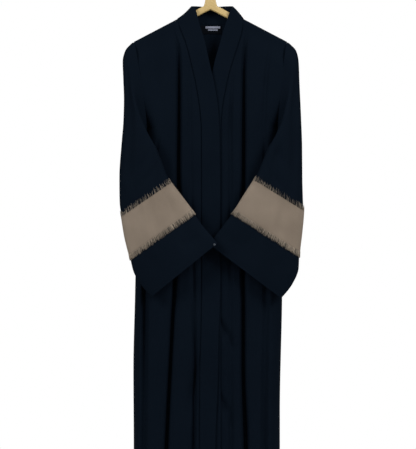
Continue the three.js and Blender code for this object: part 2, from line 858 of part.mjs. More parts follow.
function hangerArms() {
  const topAt = (x) => armTopAtCentre - armSlope * x;
  const bottomAt = (x) => topAt(x) - mix(armDepthAtCentre, armDepthAtEnd, x / armEndX);
  const half = armStations.map(({ inward, narrow }) => {
    const x = armEndX - inward;
    return [x, topAt(x) - narrow, bottomAt(x) + narrow];
  });
  half.push(...neckSections.map(({ x, high }) => [x, high, bottomAt(x)]));
  const otherHalf = half.slice(0, -1).reverse();
  const sections = half.map(([x, high, low]) => armSection(-x, high, low));
  sections.push(...otherHalf.map(([x, high, low]) => armSection(x, high, low)));
  const ringSize = sections[0].length;
  const positions = sections.flat().flatMap((p) => [p.x, p.y, p.z]);
  const faces = [];
  for (let i = 0; i < sections.length - 1; i += 1) {
    for (let j = 0; j < ringSize; j += 1) {
      const a = i * ringSize + j;
      const b = i * ringSize + (j + 1) % ringSize;
      faces.push(a, b + ringSize, b, a, a + ringSize, b + ringSize);
    }
  }
  const lastBase = (sections.length - 1) * ringSize;
  for (let j = 1; j < ringSize - 1; j += 1) {
    faces.push(0, j, j + 1, lastBase, lastBase + j + 1, lastBase + j);
  }
  const geometry = new THREE.BufferGeometry();
  geometry.setAttribute('position', new THREE.Float32BufferAttribute(positions, 3));
  geometry.setIndex(faces);
  return geometry;
}

// Hook: a round wire, up from the neck's top and over the rod
const hookSweep = 1.32 * Math.PI;
const hookSteps = 26;
const hookSides = 6;

class HookLine extends THREE.Curve {
  getPoint(t, target = new THREE.Vector3()) {
    const radius = hookInnerRadius + hookWireRadius;
    const centreZ = -hookInnerRadius;
    const foot = neckTop + seamGap;
    const shankLength = centreZ - radius - foot;
    const along = t * (shankLength + radius * hookSweep);
    if (along < shankLength) {
      return target.set(0, 0, foot + along);
    }
    const angle = (along - shankLength) / radius - Math.PI / 2;
    return target.set(radius * Math.cos(angle), 0, centreZ + radius * Math.sin(angle));
  }
}

function hangerHook() {
  const outline = [];
  for (let k = 0; k < hookSides; k += 1) {
    const angle = 2 * Math.PI * k / hookSides;
    outline.push(new THREE.Vector2(hookWireRadius * Math.cos(angle), hookWireRadius * Math.sin(angle)));
  }
  return new THREE.ExtrudeGeometry(new THREE.Shape(outline), {
    steps: hookSteps,
    extrudePath: new HookLine(),
    bevelEnabled: false,
  });
}

function cloth(colour, roughness) {
  return new THREE.MeshStandardMaterial({ color: colour, roughness, metalness: 0, side: THREE.DoubleSide });
}

function piece(name, geometry, material) {
  const mesh = new THREE.Mesh(geometry, material);
  mesh.name = name;
  return mesh;
}

const abaya = new THREE.Group();
const crepe = () => cloth(colours.crepe, 0.8);
for (const side of ['right', 'left']) {
  abaya.add(piece(`${side}_front_panel`, frontPanel(side), crepe()));
  abaya.add(piece(`${side}_front_band`, frontBand(side), crepe()));
  abaya.add(piece(`${side}_sleeve`, sleeve(side), crepe()));
  abaya.add(piece(`${side}_cuff_band`, cuffBand(side), cloth(colours.band, 0.9)));
  abaya.add(piece(`${side}_fringe_upper`, cuffFringe(side, 'upper'), cloth(colours.fringe, 0.9)));
  abaya.add(piece(`${side}_fringe_lower`, cuffFringe(side, 'lower'), cloth(colours.fringe, 0.9)));
}
abaya.add(piece('back_panel', backPanel(), crepe()));
abaya.add(piece('neck_band', neckBand(), crepe()));
abaya.add(piece('neck_label', neckLabel(), cloth(colours.label, 0.7)));

const wood = new THREE.MeshStandardMaterial({ color: colours.wood, roughness: 0.45, metalness: 0 });
const wire = new THREE.MeshStandardMaterial({ color: colours.wire, roughness: 0.3, metalness: 1 });
const studMetal = new THREE.MeshStandardMaterial({ color: colours.stud, roughness: 0.35, metalness: 1 });
abaya.add(piece('cuff_stud', cuffStud(), studMetal));
abaya.add(piece('hanger_arms', hangerArms(), wood));
abaya.add(piece('hanger_hook', hangerHook(), wire));

export default abaya;
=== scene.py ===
import bisect
import math
import random
from functools import partial

import bmesh
import bpy
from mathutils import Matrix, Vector


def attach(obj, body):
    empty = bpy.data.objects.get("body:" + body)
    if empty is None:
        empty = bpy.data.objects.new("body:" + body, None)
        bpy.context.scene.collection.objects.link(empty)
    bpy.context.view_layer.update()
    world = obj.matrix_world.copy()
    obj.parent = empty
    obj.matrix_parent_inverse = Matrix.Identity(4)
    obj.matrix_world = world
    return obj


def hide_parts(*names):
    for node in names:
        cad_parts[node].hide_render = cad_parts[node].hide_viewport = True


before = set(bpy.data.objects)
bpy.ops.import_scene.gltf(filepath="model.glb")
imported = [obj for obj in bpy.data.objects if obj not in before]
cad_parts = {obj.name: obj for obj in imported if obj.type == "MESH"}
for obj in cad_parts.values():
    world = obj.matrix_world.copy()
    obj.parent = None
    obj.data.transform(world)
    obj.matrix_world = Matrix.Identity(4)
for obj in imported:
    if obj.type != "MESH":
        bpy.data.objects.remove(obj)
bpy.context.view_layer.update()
mm = 0.001


# A table is rows of numbers under named columns
def table(names, rows):
    columns = names.split()
    return [dict(zip(columns, row)) for row in rows]


print("materials")


def colour(code):
    parts = [int(code[k:k + 2], 16) / 255 for k in (1, 3, 5)]
    return [v / 12.92 if v <= 0.04045 else ((v + 0.055) / 1.055) ** 2.4 for v in parts] + [1]


def addNode(tree, kind, inputs, **settings):
    node = tree.nodes.new(kind)
    for name, value in settings.items():
        setattr(node, name, value)
    for name, value in inputs.items():
        if isinstance(value, bpy.types.NodeSocket):
            tree.links.new(value, node.inputs[name])
        else:
            node.inputs[name].default_value = value
    return node


napRoughness = 0.45


def newMaterial(name, roughness, specular=0.5, sheen=0, sheenTint="#ffffff"):
    material = bpy.data.materials.new(name)
    material.use_nodes = True
    tree = material.node_tree
    shader = tree.nodes["Principled BSDF"]
    looks = {
        "Roughness": roughness, "Specular IOR Level": specular,
        "Sheen Weight": sheen, "Sheen Roughness": napRoughness, "Sheen Tint": colour(sheenTint),
    }
    for name, value in looks.items():
        shader.inputs[name].default_value = value
    return material, tree, shader


# A pattern's scale for a mark of so many millimetres
def scaleOf(size):
    return 1 / (size * mm)


# The surface's colour runs from a dark to a light tone with a pattern
def paint(tree, shader, pattern, dark, light):
    ends = {"Factor": pattern, "A": colour(dark), "B": colour(light)}
    tone = addNode(tree, "ShaderNodeMix", ends, data_type="RGBA")
    tree.links.new(tone.outputs["Result"], shader.inputs["Base Color"])


# An uneven colour: two tones that drift into each other over so many millimetres
def unevenColour(tree, shader, size, dark, light):
    place = addNode(tree, "ShaderNodeTexCoord", {})
    drift = addNode(tree, "ShaderNodeTexNoise", {"Vector": place.outputs["Object"], "Scale": scaleOf(size)})
    paint(tree, shader, drift.outputs["Fac"], dark, light)


# Black crepe with a navy cast: matt, finely pebbled, with a faint cloudiness over a hand's width
crepeLook = {"dark": "#060d16", "light": "#09111a", "pebble": 1.1, "cloud": 110, "relief": 0.25, "raised": 0.2}
crepe, tree, shader = newMaterial("polyester crepe", 0.8, 0.025, 0.006, "#9fb2c8")
unevenColour(tree, shader, crepeLook["cloud"], crepeLook["dark"], crepeLook["light"])
place = addNode(tree, "ShaderNodeTexCoord", {})
pebble = addNode(tree, "ShaderNodeTexNoise", {
    "Vector": place.outputs["Object"], "Scale": scaleOf(crepeLook["pebble"]), "Detail": 3.0, "Roughness": 0.6})
relief = addNode(tree, "ShaderNodeBump", {
    "Height": pebble.outputs["Fac"], "Strength": crepeLook["relief"], "Distance": crepeLook["raised"] * mm})
tree.links.new(relief.outputs["Normal"], shader.inputs["Normal"])

# Taupe band: an open plain weave of matt spun yarn, seen close as a fine check of light and shade
# weaveShade sets how strong the painted light and shade of the weave's fine check is in the colour
bandLook = {
    "dark": "#6c6054", "light": "#8c7f71", "yarn": 1.1, "cloud": 90, "weaveShade": 0.22, "relief": 0.6,
    "raised": 0.2,
}
wovenBand, tree, shader = newMaterial("woven taupe yarn", 0.85, 0.2, 0.25, "#e8ddd0")
place = addNode(tree, "ShaderNodeUVMap", {}, uv_map="weave")
split = addNode(tree, "ShaderNodeSeparateXYZ", {"Vector": place.outputs["UV"]})


def yarnWave(tree, value):
    turn = 2 * math.pi * scaleOf(bandLook["yarn"])
    turns = addNode(tree, "ShaderNodeMath", {0: value, 1: turn}, operation="MULTIPLY")
    return addNode(tree, "ShaderNodeMath", {0: turns.outputs[0]}, operation="SINE").outputs[0]


weave = addNode(tree, "ShaderNodeMath", {
    0: yarnWave(tree, split.outputs["X"]), 1: yarnWave(tree, split.outputs["Y"])}, operation="MULTIPLY")
where = addNode(tree, "ShaderNodeTexCoord", {})
cloud = addNode(tree, "ShaderNodeTexNoise", {
    "Vector": where.outputs["Object"], "Scale": scaleOf(bandLook["cloud"]), "Detail": 4.0})
# The weave's fine check is painted light and shade of the yarn crossings, added to the cloud's random tone in
# the colour; the same weave also drives the bump
weaveShade = addNode(tree, "ShaderNodeMath", {0: weave.outputs[0], 1: bandLook["weaveShade"]}, operation="MULTIPLY")
toneAndWeaveShade = addNode(tree, "ShaderNodeMath", {0: cloud.outputs["Fac"], 1: weaveShade.outputs[0]}, operation="ADD")
paint(tree, shader, toneAndWeaveShade.outputs[0], bandLook["dark"], bandLook["light"])
relief = addNode(tree, "ShaderNodeBump", {
    "Height": weave.outputs[0], "Strength": bandLook["relief"], "Distance": bandLook["raised"] * mm})
tree.links.new(relief.outputs["Normal"], shader.inputs["Normal"])


# Yarn and thread: each has its own tone, from dark to light; the nap gives the frayed yarn a soft pale rim
def threadMaterial(name, dark, light, nap, specular):
    material, tree, shader = newMaterial(name, 0.9, specular, nap, "#e8ddd0")
    own = addNode(tree, "ShaderNodeAttribute", {}, attribute_name="tone")
    paint(tree, shader, own.outputs["Fac"], dark, light)
    return material


fringeYarn = threadMaterial("frayed taupe yarn", "#14171b", "#a89a89", 0.3, 0.15)
darkThread = threadMaterial("black sewing thread", "#04080e", "#0a111a", 0.01, 0.05)
taupeThread = threadMaterial("taupe sewing thread", "#453d34", "#6a5f53", 0.1, 0.1)

# Woven label: black satin with two pale woven bars
labelLook = {"base": "#04070d", "bar": "#858998", "width": 60.5, "height": 23.4}
labelBars = table("left right top bottom", [(0.27, 0.93, 0.08, 0.33), (0.38, 0.83, 0.43, 0.58)])
labelSatin, tree, shader = newMaterial("satin label", 0.6, 0.04, 0.003)
place = addNode(tree, "ShaderNodeUVMap", {}, uv_map="weave")
split = addNode(tree, "ShaderNodeSeparateXYZ", {"Vector": place.outputs["UV"]})


def between(tree, value, low, high, size):
    above = addNode(tree, "ShaderNodeMath", {0: value, 1: low * size * mm}, operation="GREATER_THAN")
    below = addNode(tree, "ShaderNodeMath", {0: value, 1: high * size * mm}, operation="LESS_THAN")
    both = addNode(tree, "ShaderNodeMath", {0: above.outputs[0], 1: below.outputs[0]}, operation="MULTIPLY")
    return both.outputs[0]


def labelBar(tree, bar):
    across = between(tree, split.outputs["X"], bar["left"], bar["right"], labelLook["width"])
    down = between(tree, split.outputs["Y"], bar["top"], bar["bottom"], labelLook["height"])
    return addNode(tree, "ShaderNodeMath", {0: across, 1: down}, operation="MULTIPLY").outputs[0]


bars = addNode(tree, "ShaderNodeMath", {
    0: labelBar(tree, labelBars[0]), 1: labelBar(tree, labelBars[1])}, operation="ADD")
paint(tree, shader, bars.outputs[0], labelLook["base"], labelLook["bar"])

# Pale hardwood with a clear satin varnish: long soft grain along the arms
woodLook = {"light": "#ccb47c", "dark": "#a98c54", "grain": 2.1, "stretch": 0.08, "varnish": 0.25}
wood, tree, shader = newMaterial("varnished hardwood", 0.42, 0.45)
shader.inputs["Coat Weight"].default_value = woodLook["varnish"]
shader.inputs["Coat Roughness"].default_value = woodLook["varnish"]
place = addNode(tree, "ShaderNodeUVMap", {}, uv_map="weave")
long = addNode(tree, "ShaderNodeMapping", {
    "Vector": place.outputs["UV"], "Scale": (woodLook["stretch"], 1, 1)})
grain = addNode(tree, "ShaderNodeTexNoise", {
    "Vector": long.outputs["Vector"], "Scale": scaleOf(woodLook["grain"]), "Detail": 4.0, "Distortion": 0.4})
paint(tree, shader, grain.outputs["Fac"], woodLook["dark"], woodLook["light"])

# Bright zinc wire: a hard, slightly uneven gleam
wire, tree, shader = newMaterial("zinc plated wire", 0.28)
shader.inputs["Metallic"].default_value = 1
unevenColour(tree, shader, 6, "#a9adb1", "#cfd2d4")

# Dark moulded resin: the stud's smooth head has one soft gleam
studResin, tree, shader = newMaterial("dark moulded resin", 0.38, 0.4)
unevenColour(tree, shader, 2.5, "#1b222b", "#28303a")

# Matt pale floor paint, a little cloudy from the roller
floorPaint, tree, shader = newMaterial("matt floor paint", 0.9)
unevenColour(tree, shader, 330, "#e4e4e2", "#e9e9e7")

print("shaping rules")


# A smooth curve through a table's rows, read at any value of its first column
def curveThrough(rows):
    key, *names = rows[0]
    keys = [row[key] for row in rows]
    last = len(rows) - 1

    def secant(i, name):
        return (rows[i + 1][name] - rows[i][name]) / (keys[i + 1] - keys[i])

    def slope(i, name):
        if i in (0, last):
            return 0
        before = secant(i - 1, name)
        after = secant(i, name)
        return 0 if before * after <= 0 else 2 * before * after / (before + after)

    slopes = [{name: slope(i, name) for name in names} for i in range(last + 1)]

    def at(value):
        value = min(max(value, keys[0]), keys[-1])
        i = min(max(bisect.bisect_right(keys, value) - 1, 0), last - 1)
        span = keys[i + 1] - keys[i]
        t = (value - keys[i]) / span
        start = (1 + 2 * t) * (1 - t) ** 2
        end = t * t * (3 - 2 * t)
        leaving = span * t * (1 - t) ** 2
        arriving = span * t * t * (t - 1)
        return {
            name: rows[i][name] * start + rows[i + 1][name] * end
            + slopes[i][name] * leaving + slopes[i + 1][name] * arriving
            for name in names
        }

    return at


def smooth(t):
    t = min(max(t, 0), 1)
    return t * t * (3 - 2 * t)


def mix(a, b, t):
    return a + (b - a) * t


creaseReach = 2.6  # in half widths: a crease is as good as flat beyond


# Listed creases: each is a line of points with its half width and how deep it goes, a ridge if negative
def creaseDent(creases, x, z):
    dent = 0
    for crease in creases:
        if not crease["low"] < z < crease["high"] or not crease["left"] < x < crease["right"]:
            continue
        best = None
        for a, b in zip(crease["line"], crease["line"][1:]):
            dx = b["x"] - a["x"]
            dz = b["z"] - a["z"]
            t = min(max(((x - a["x"]) * dx + (z - a["z"]) * dz) / (dx * dx + dz * dz), 0), 1)
            away = math.hypot(x - a["x"] - t * dx, z - a["z"] - t * dz)
            if best is None or away < best[0]:
                best = (away, mix(a["half"], b["half"], t), mix(a["depth"], b["depth"], t))
        away, half, depth = best
        dent += depth * math.exp(-((away / half) ** 2))
    return dent


def creaseTable(*lines):
    creases = []
    for rows in lines:
        line = table("x z half depth", rows)
        reach = creaseReach * max(point["half"] for point in line)
        creases.append({
            "line": line,
            "left": min(point["x"] for point in line) - reach,
            "right": max(point["x"] for point in line) + reach,
            "low": min(point["z"] for point in line) - reach,
            "high": max(point["z"] for point in line) + reach,
        })
    return creases


# Sizes in millimetres, on the part's own lines
cloth = {
    "thickness": 0.9, "folded": 1.8, "woven": 1.3, "seamGap": 0.3, "underBand": 1.6, "hem": -1536,
    "leastDepth": 0.25,
}
shoulder = {"centre": -83.75, "slope": 0.524, "neckPoint": 90, "tip": 208}
depthByHeight = curveThrough(table("drop front back", [
    (131, 9, 9), (170, 11.5, 13), (220, 17, 19), (300, 25, 27), (430, 33, 34), (700, 36, 38), (1000, 42, 43),
    (1536, 48, 47),
]))
armholes = {
    "right": {"topX": 208, "topZ": -192.6, "lowX": 168, "lowZ": -428, "half": 26},
    "left": {"topX": 208, "topZ": -192.6, "lowX": 178, "lowZ": -424, "half": 26},
}
sideSeams = {
    "right": curveThrough(table("drop x", [
        (428, 168), (435, 173), (446, 175.2), (465, 176.2), (500, 179), (600, 193), (700, 200), (900, 205),
        (1080, 209), (1300, 208), (1536, 210),
    ])),
    "left": curveThrough(table("drop x", [
        (424, 178.5), (425.5, 181.5), (431, 183.8), (441, 184.8), (460, 185.2), (500, 186), (600, 194),
        (700, 196), (900, 194), (1200, 188), (1536, 188),
    ])),
}
ovalPower = 0.8  # below 1 makes a sleeve's section fuller than an ellipse
signs = {"right": -1, "left": 1}


def panelEdge(side, z):
    hole = armholes[side]
    if z > hole["lowZ"]:
        half = (hole["topZ"] - hole["lowZ"]) / 2
        u = min((z - (hole["topZ"] + hole["lowZ"]) / 2) / half, 1)
        x = mix(hole["lowX"], hole["topX"], (u + 1) / 2)
        return x, hole["half"] * math.sqrt(max(1 - u * u, 0)) ** ovalPower
    return sideSeams[side](-z)["x"], 0


bandRows = {
    "right": table("row seamX seamZ freeX freeZ", [
        (0, -90, -130.4, -51, -96), (1, -88, -137, -45, -99), (2, -84, -151, -38, -113),
        (3, -76, -171, -32, -139), (4, -68, -191, -23, -166), (5, -62, -210, -15, -195),
        (6, -52, -250, -5, -240), (7, -44, -284, 4, -280), (8, -37, -318, 12, -318),
        (9, -31, -355, 18, -355), (10, -26.5, -392, 22, -392), (11, -24, -432, 24, -432),
        (12, -23.5, -620, 25.6, -620), (13, -23.5, -860, 25.6, -860), (14, -25, -980, 22, -980),
        (15, -28, -1100, 20, -1100), (16, -29, -1290, 13, -1290), (17, -29, -1536, 12, -1536),
    ]),
    "left": table("row seamX seamZ freeX freeZ", [
        (0, 90, -130.4, 60, -96), (1, 89, -137, 57, -101), (2, 87, -151, 51, -115),
        (3, 83, -171, 42, -141), (4, 77, -191, 34, -166), (5, 71, -210, 26, -195),
        (6, 58, -250, 13, -240), (7, 48.5, -284, 4, -280), (8, 41, -318, -5, -318),
        (9, 34, -355, -13, -355), (10, 29.5, -392, -20, -392), (11, 27.5, -432, -24, -432),
        (12, 27.5, -620, -25, -620), (13, 27.5, -860, -25, -860), (14, 27.5, -980, -25, -980),
        (15, 27.5, -1100, -25, -1100), (16, 28, -1290, -24, -1290), (17, 28, -1536, -23, -1536),
    ]),
}
bandCurves = {side: curveThrough(rows) for side, rows in bandRows.items()}
seamByHeight = {
    side: curveThrough([{"drop": -row["seamZ"], "x": row["seamX"]} for row in rows])
    for side, rows in bandRows.items()
}

overArm = curveThrough(table("down depth", [(0, 0.25), (0.9, 5.4), (5, 8.2), (14, 9)]))
hang = {"start": 14, "blend": 60, "depth": 9}


def shoulderZ(x):
    return shoulder["centre"] - shoulder["slope"] * abs(x)


def hangingDepth(face, x, z, topZ=None):
    down = (shoulderZ(x) if topZ is None else topZ) - z
    if down < hang["start"]:
        return overArm(max(down, 0))["depth"]
    return mix(hang["depth"], depthByHeight(-z)[face], smooth((down - hang["start"]) / hang["blend"]))


edgeRound = {"full": 38, "shoulder": 5, "grows": 70}


def roundedToEdge(side, x, z, depth):
    edgeX, edgeDepth = panelEdge(side, z)
    inward = abs(edgeX) - abs(x)
    grown = smooth((armholes[side]["topZ"] - z) / edgeRound["grows"])
    reach = mix(edgeRound["shoulder"], edgeRound["full"], grown)
    if inward >= reach:
        return depth
    rise = math.sqrt(1 - (1 - max(inward, 0) / reach) ** 2)
    return mix(min(edgeDepth, depth), depth, rise)


def newObject(name, bm, material):
    mesh = bpy.data.meshes.new(name)
    bm.to_mesh(mesh)
    bm.free()
    mesh.materials.append(material)
    obj = bpy.data.objects.new(name, mesh)
    bpy.context.scene.collection.objects.link(obj)
    return obj


sheets = {}
softEdge = {"share": 0.35, "segments": 2, "angle": 62}


# The cloth is written as a grid of points, made into a thin shell
def clothPiece(name, node, rows, thickness, material, closed=False):
    down = len(rows) - 1
    across = len(rows[0]) - 1
    bm = bmesh.new()
    bmesh.ops.create_grid(bm, x_segments=across, y_segments=down, size=0.5)
    uvLayer = bm.loops.layers.uv.new("weave")
    along = [[0.0] * (across + 1) for row in rows]
    below = [[0.0] * (across + 1) for row in rows]
    for j, row in enumerate(rows):
        for i, point in enumerate(row):
            if i:
                along[j][i] = along[j][i - 1] + (point - row[i - 1]).length
            if j:
                below[j][i] = below[j - 1][i] + (point - rows[j - 1][i]).length
    places = {}
    for v in bm.verts:
        i = round((v.co.x + 0.5) * across)
        j = round((0.5 - v.co.y) * down)
        places[v] = (i, j)
        v.co = rows[j][i] * mm
    for face in bm.faces:
        for loop in face.loops:
            i, j = places[loop.vert]
            loop[uvLayer].uv = (along[j][i] * mm, below[j][i] * mm)
        face.smooth = True
    if closed:
        edge = [v for v, (i, j) in places.items() if i in (0, across)]
        bmesh.ops.remove_doubles(bm, verts=edge, dist=0.00001)
    bmesh.ops.recalc_face_normals(bm, faces=bm.faces)
    obj = newObject(name, bm, material)
    shell = obj.modifiers.new("thickness", "SOLIDIFY")
    shell.thickness = thickness * mm
    shell.offset = 0
    rim = obj.modifiers.new("soft edge", "BEVEL")
    rim.width = thickness * softEdge["share"] * mm
    rim.segments = softEdge["segments"]
    rim.limit_method = "ANGLE"
    rim.angle_limit = math.radians(softEdge["angle"])
    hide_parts(node)
    sheets[name] = (obj, gridArea(rows))


def gridArea(rows):
    area = 0
    for upper, lower in zip(rows, rows[1:]):
        for i in range(len(upper) - 1):
            area += (upper[i + 1] - upper[i]).cross(lower[i] - upper[i]).length / 2
            area += (upper[i + 1] - lower[i + 1]).cross(lower[i] - lower[i + 1]).length / 2
    return area * mm * mm


def evenly(start, end, steps):
    return [mix(start, end, k / steps) for k in range(steps)]


def afterEvenly(start, end, steps):
    return [mix(start, end, k / steps) for k in range(1, steps + 1)]


# Columns go on across a panel: a few over the flat cloth, more over each fold, given by its two sides
def acrossFolds(columns, folds):
    for start, end in folds:
        columns += afterEvenly(columns[-1], start, flatSteps)
        columns += afterEvenly(start, end, foldSteps)
    return columns


def foldDent(x, folds):
    return max(fold["depth"] * smooth(1 - abs(x - fold["x"]) / fold["half"]) for fold in folds)


# Rows of every panel: how far below the shoulder line at the top, then level to the hem
topDrops = [0, 0.15, 0.45, 0.9, 1.8, 3.2, 5, 8, 11, 14, 20, 28, 38, 49, 60, 72]
levelStart = -292
levelSpacing = 9.5
levels = [levelStart - levelSpacing * k for k in range(1, 131)] + [cloth["hem"]]
blendRows = 5
edgeSteps = (0, 0.4, 1.2, 3, 6, 10.5, 16)
foldSteps = 10
flatSteps = 4
settlePasses = 4


def panelHeights(topZ):
    heights = [lambda x, drop=drop: topZ(x) - drop for drop in topDrops]
    for k in range(1, blendRows + 1):
        heights.append(lambda x, t=k / blendRows: mix(topZ(x) - topDrops[-1], levelStart, t))
    heights += [lambda x, level=level: level for level in levels]
    return heights


# A column's place depends on its height and the height on its place, so each point settles in a few passes
def panelRows(topZ, columnsAt, pointAt):
    rows = []
    for height in panelHeights(topZ):
        row = []
        for j, x in enumerate(columnsAt(height(shoulder["tip"]))):
            for step in range(settlePasses):
                x = columnsAt(height(x))[j]
            row.append(pointAt(x, height(x)))
        rows.append(row)
    return rows


print("front panels")


def foldTable(*lines):
    return [curveThrough(table("drop x half depth", rows)) for rows in lines]


frontFolds = {
    "right": foldTable(
        [(131, 160, 6, 0), (430, 138, 8, 0), (560, 162, 13, 10), (860, 177, 13, 22), (1140, 179, 14, 14),
         (1536, 182, 15, 12)],
        [(131, 105, 4, 0), (170, 98, 7, 2), (217, 86, 9, 8), (300, 85, 10, 18), (600, 87, 10, 26),
         (860, 98, 9, 26), (1020, 106, 9, 28), (1290, 119, 10, 28), (1536, 126, 12, 30)],
        [(131, 94.5, 1.5, 0), (217, 68, 4, 0), (300, 57, 8, 2), (600, 52, 10, 3), (900, 46, 10, 6),
         (1050, 42, 9, 11), (1290, 46, 10, 14), (1536, 50, 11, 15)],
    ),
    "left": foldTable(
        [(131, 165, 6, 0), (217, 160, 8, 2), (300, 150, 10, 4), (430, 145, 10, 4), (560, 150, 13, 6),
         (860, 150, 14, 7), (1200, 145, 14, 10), (1536, 146, 15, 14)],
        [(131, 105, 4, 0), (170, 98, 7, 3), (217, 93, 9, 9), (300, 90, 10, 18), (600, 89, 10, 26),
         (860, 88, 10, 26), (1060, 88, 10, 26), (1290, 95, 12, 30), (1536, 98, 13, 32)],
        [(131, 94.5, 1.5, 0), (217, 74, 3, 0), (300, 60, 6, 2), (430, 54, 9, 5), (700, 54, 10, 4),
         (1000, 54, 10, 3), (1536, 56, 11, 8)],
    ),
}
frontCreases = {
    "right": creaseTable(
        [(-181, -330, 8, 0), (-170, -380, 9, 2.2), (-163, -440, 10, 0)],
        [(-52, -340, 7, 0), (-55, -390, 7, 1.6), (-56, -450, 8, 0)],
        [(-33, -1050, 8, 2), (-42, -1090, 10, 8), (-52, -1150, 11, 12), (-60, -1205, 11, 8),
         (-58, -1300, 10, 2)],
        [(-150, -212, 9, 0), (-145, -290, 11, 1.8), (-138, -385, 12, 0)],
        [(-122, -235, 10, 0), (-118, -325, 11, -1.8), (-117, -450, 11, 0)],
        [(-66, -560, 9, 0), (-69, -680, 10, 1.8), (-66, -800, 10, 0)],
        [(-150, -900, 11, 0), (-148, -1040, 12, 2.4), (-154, -1240, 12, 0)],
        [(-74, -850, 10, 0), (-70, -960, 11, -2.4), (-80, -1110, 11, 0)],
        [(-200, -820, 9, 0), (-199, -960, 9, 2.2), (-201, -1150, 9, 0)],
        [(-84, -1180, 10, 0), (-88, -1330, 11, 2.4), (-86, -1480, 12, 1)],
    ),
    "left": creaseTable(
        [(68, -318, 6, 0), (55, -379, 7, 2.4), (46, -450, 8, 2), (41, -520, 8, 0)],
        [(152, -270, 8, 0), (150, -300, 8, 2), (144, -340, 9, 0)],
        [(138, -370, 9, 0), (134, -430, 9, 3), (133, -480, 9, 2.4), (132, -530, 9, 0)],
        [(28, -950, 7, 5), (42, -982, 10, 12), (58, -1020, 9, 4)],
        [(28, -1150, 7, 4), (42, -1186, 10, 11), (56, -1232, 9, 3)],
        [(120, -232, 10, 0), (121, -320, 11, -1.7), (117, -430, 11, 0)],
        [(70, -600, 9, 0), (72, -745, 10, 2), (69, -890, 10, 0)],
        [(122, -880, 11, 0), (118, -1060, 12, 2.6), (124, -1270, 12, 0)],
        [(171, -760, 10, 0), (173, -930, 11, 2.4), (168, -1130, 11, 0)],
        [(68, -1060, 10, 0), (71, -1190, 11, -2.2), (74, -1350, 11, 0)],
        [(118, -1290, 10, 0), (121, -1420, 11, -2), (120, -1536, 12, -1)],
    ),
}
bandCreases = {
    "right": creaseTable(
        [(-34, -205, 8, 0), (-22, -262, 9, 1.1), (-10, -330, 9, 0)],
        [(4, -430, 9, 0), (-2, -560, 10, 1.2), (3, -700, 10, 0)],
        [(-8, -880, 9, 0), (-4, -985, 10, -1.2), (-9, -1120, 10, 0)],
        [(2, -1040, 8, 0), (-14, -1110, 9, 1.3), (-24, -1150, 9, 0)],
        [(-12, -1240, 9, 0), (-8, -1370, 10, 1.2), (-11, -1500, 10, 0)],
    ),
    "left": creaseTable(
        [(62, -165, 8, 0), (46, -215, 9, 1), (30, -262, 9, 0)],
        [(16, -500, 9, 0), (18, -640, 9, 0.9), (15, -780, 9, 0)],
        [(25, -930, 4, 0), (22, -1010, 4, 1.8), (19, -1110, 4, 2), (13.5, -1290, 4, 2.2),
         (13, -1500, 4, 1.6)],
    ),
}
minimumDepth = 8.6
creasesGrow = 40
seamDip = {"half": 9, "depth": 2.7}


def frontColumns(side, z):
    edge = abs(panelEdge(side, z)[0])
    seam = abs(seamByHeight[side](-z)["x"]) - cloth["underBand"]
    folds = [fold(-z) for fold in frontFolds[side]]
    sides = [(fold["x"] + fold["half"], fold["x"] - fold["half"]) for fold in folds]
    columns = acrossFolds([edge - step for step in edgeSteps], sides)
    return columns + afterEvenly(columns[-1], seam, flatSteps)


def frontPoint(side, x, z):
    hung = hangingDepth("front", x, z)
    dent = foldDent(abs(x), [fold(-z) for fold in frontFolds[side]])
    depth = max(hung - dent, min(hung, minimumDepth))
    depth = roundedToEdge(side, x, z, depth)
    grown = smooth((shoulderZ(x) - z) / creasesGrow)
    besideSeam = 1 - (abs(x) - abs(seamByHeight[side](-z)["x"])) / seamDip["half"]
    depth -= seamDip["depth"] * smooth(besideSeam) * grown
    depth -= creaseDent(frontCreases[side], signs[side] * abs(x), z) * grown
    return Vector((signs[side] * abs(x), -max(depth, cloth["leastDepth"]), z))


for side in signs:
    rows = panelRows(shoulderZ, partial(frontColumns, side), partial(frontPoint, side))
    clothPiece(f"{side}_front_panel_cloth", f"{side}_front_panel", rows, cloth["thickness"], crepe)

print("back panel")
backFolds = table("top low half depth", [
    (-150, -158, 14, 12), (-84, -96, 13, 24), (-30, -34, 12, 9), (32, 30, 13, 20), (84, 104, 13, 24),
    (146, 150, 13, 10),
])
backFoldGrowth = {"start": 150, "full": 620}
backCreases = creaseTable(
    [(-120, -240, 12, 0), (-112, -330, 12, 2.4), (-116, -430, 12, 0)],
    [(8, -420, 12, 0), (2, -560, 13, 3), (6, -760, 12, 0)],
    [(58, -300, 12, 0), (62, -400, 12, 2.6), (58, -520, 12, 0)],
    [(-62, -900, 12, 0), (-58, -1080, 12, 3), (-66, -1300, 12, 0)],
    [(126, -820, 12, 0), (124, -980, 12, 3), (130, -1180, 12, 0)],
    [(-46, -180, 11, 0), (-20, -215, 12, 1.8), (18, -222, 12, 1.8), (52, -190, 11, 0)],
    [(-170, -300, 10, 0), (-158, -380, 11, 2.2), (-152, -470, 11, 0)],
    [(168, -290, 10, 0), (160, -370, 11, 2), (156, -460, 11, 0)],
    [(-122, -640, 12, 0), (-126, -800, 12, -2.4), (-124, -980, 12, 0)],
    [(64, -1010, 12, 0), (66, -1200, 12, 2.8), (62, -1420, 12, 1)],
)
neckline = curveThrough(table("x depth drop", [
    (0, 15, 142.6), (36, 14.4, 142), (60, 12.6, 139.8), (78, 10.6, 135.8), (84, 9.2, 131.6), (88, 5.6, 130),
    (90, 0.25, 130.4),
]))


def backFoldsAt(z):
    grown = smooth((-z - backFoldGrowth["start"]) / (backFoldGrowth["full"] - backFoldGrowth["start"]))
    lower = smooth(z / cloth["hem"])
    return [
        {"x": mix(fold["top"], fold["low"], lower), "half": fold["half"], "depth": fold["depth"] * grown}
        for fold in backFolds
    ]


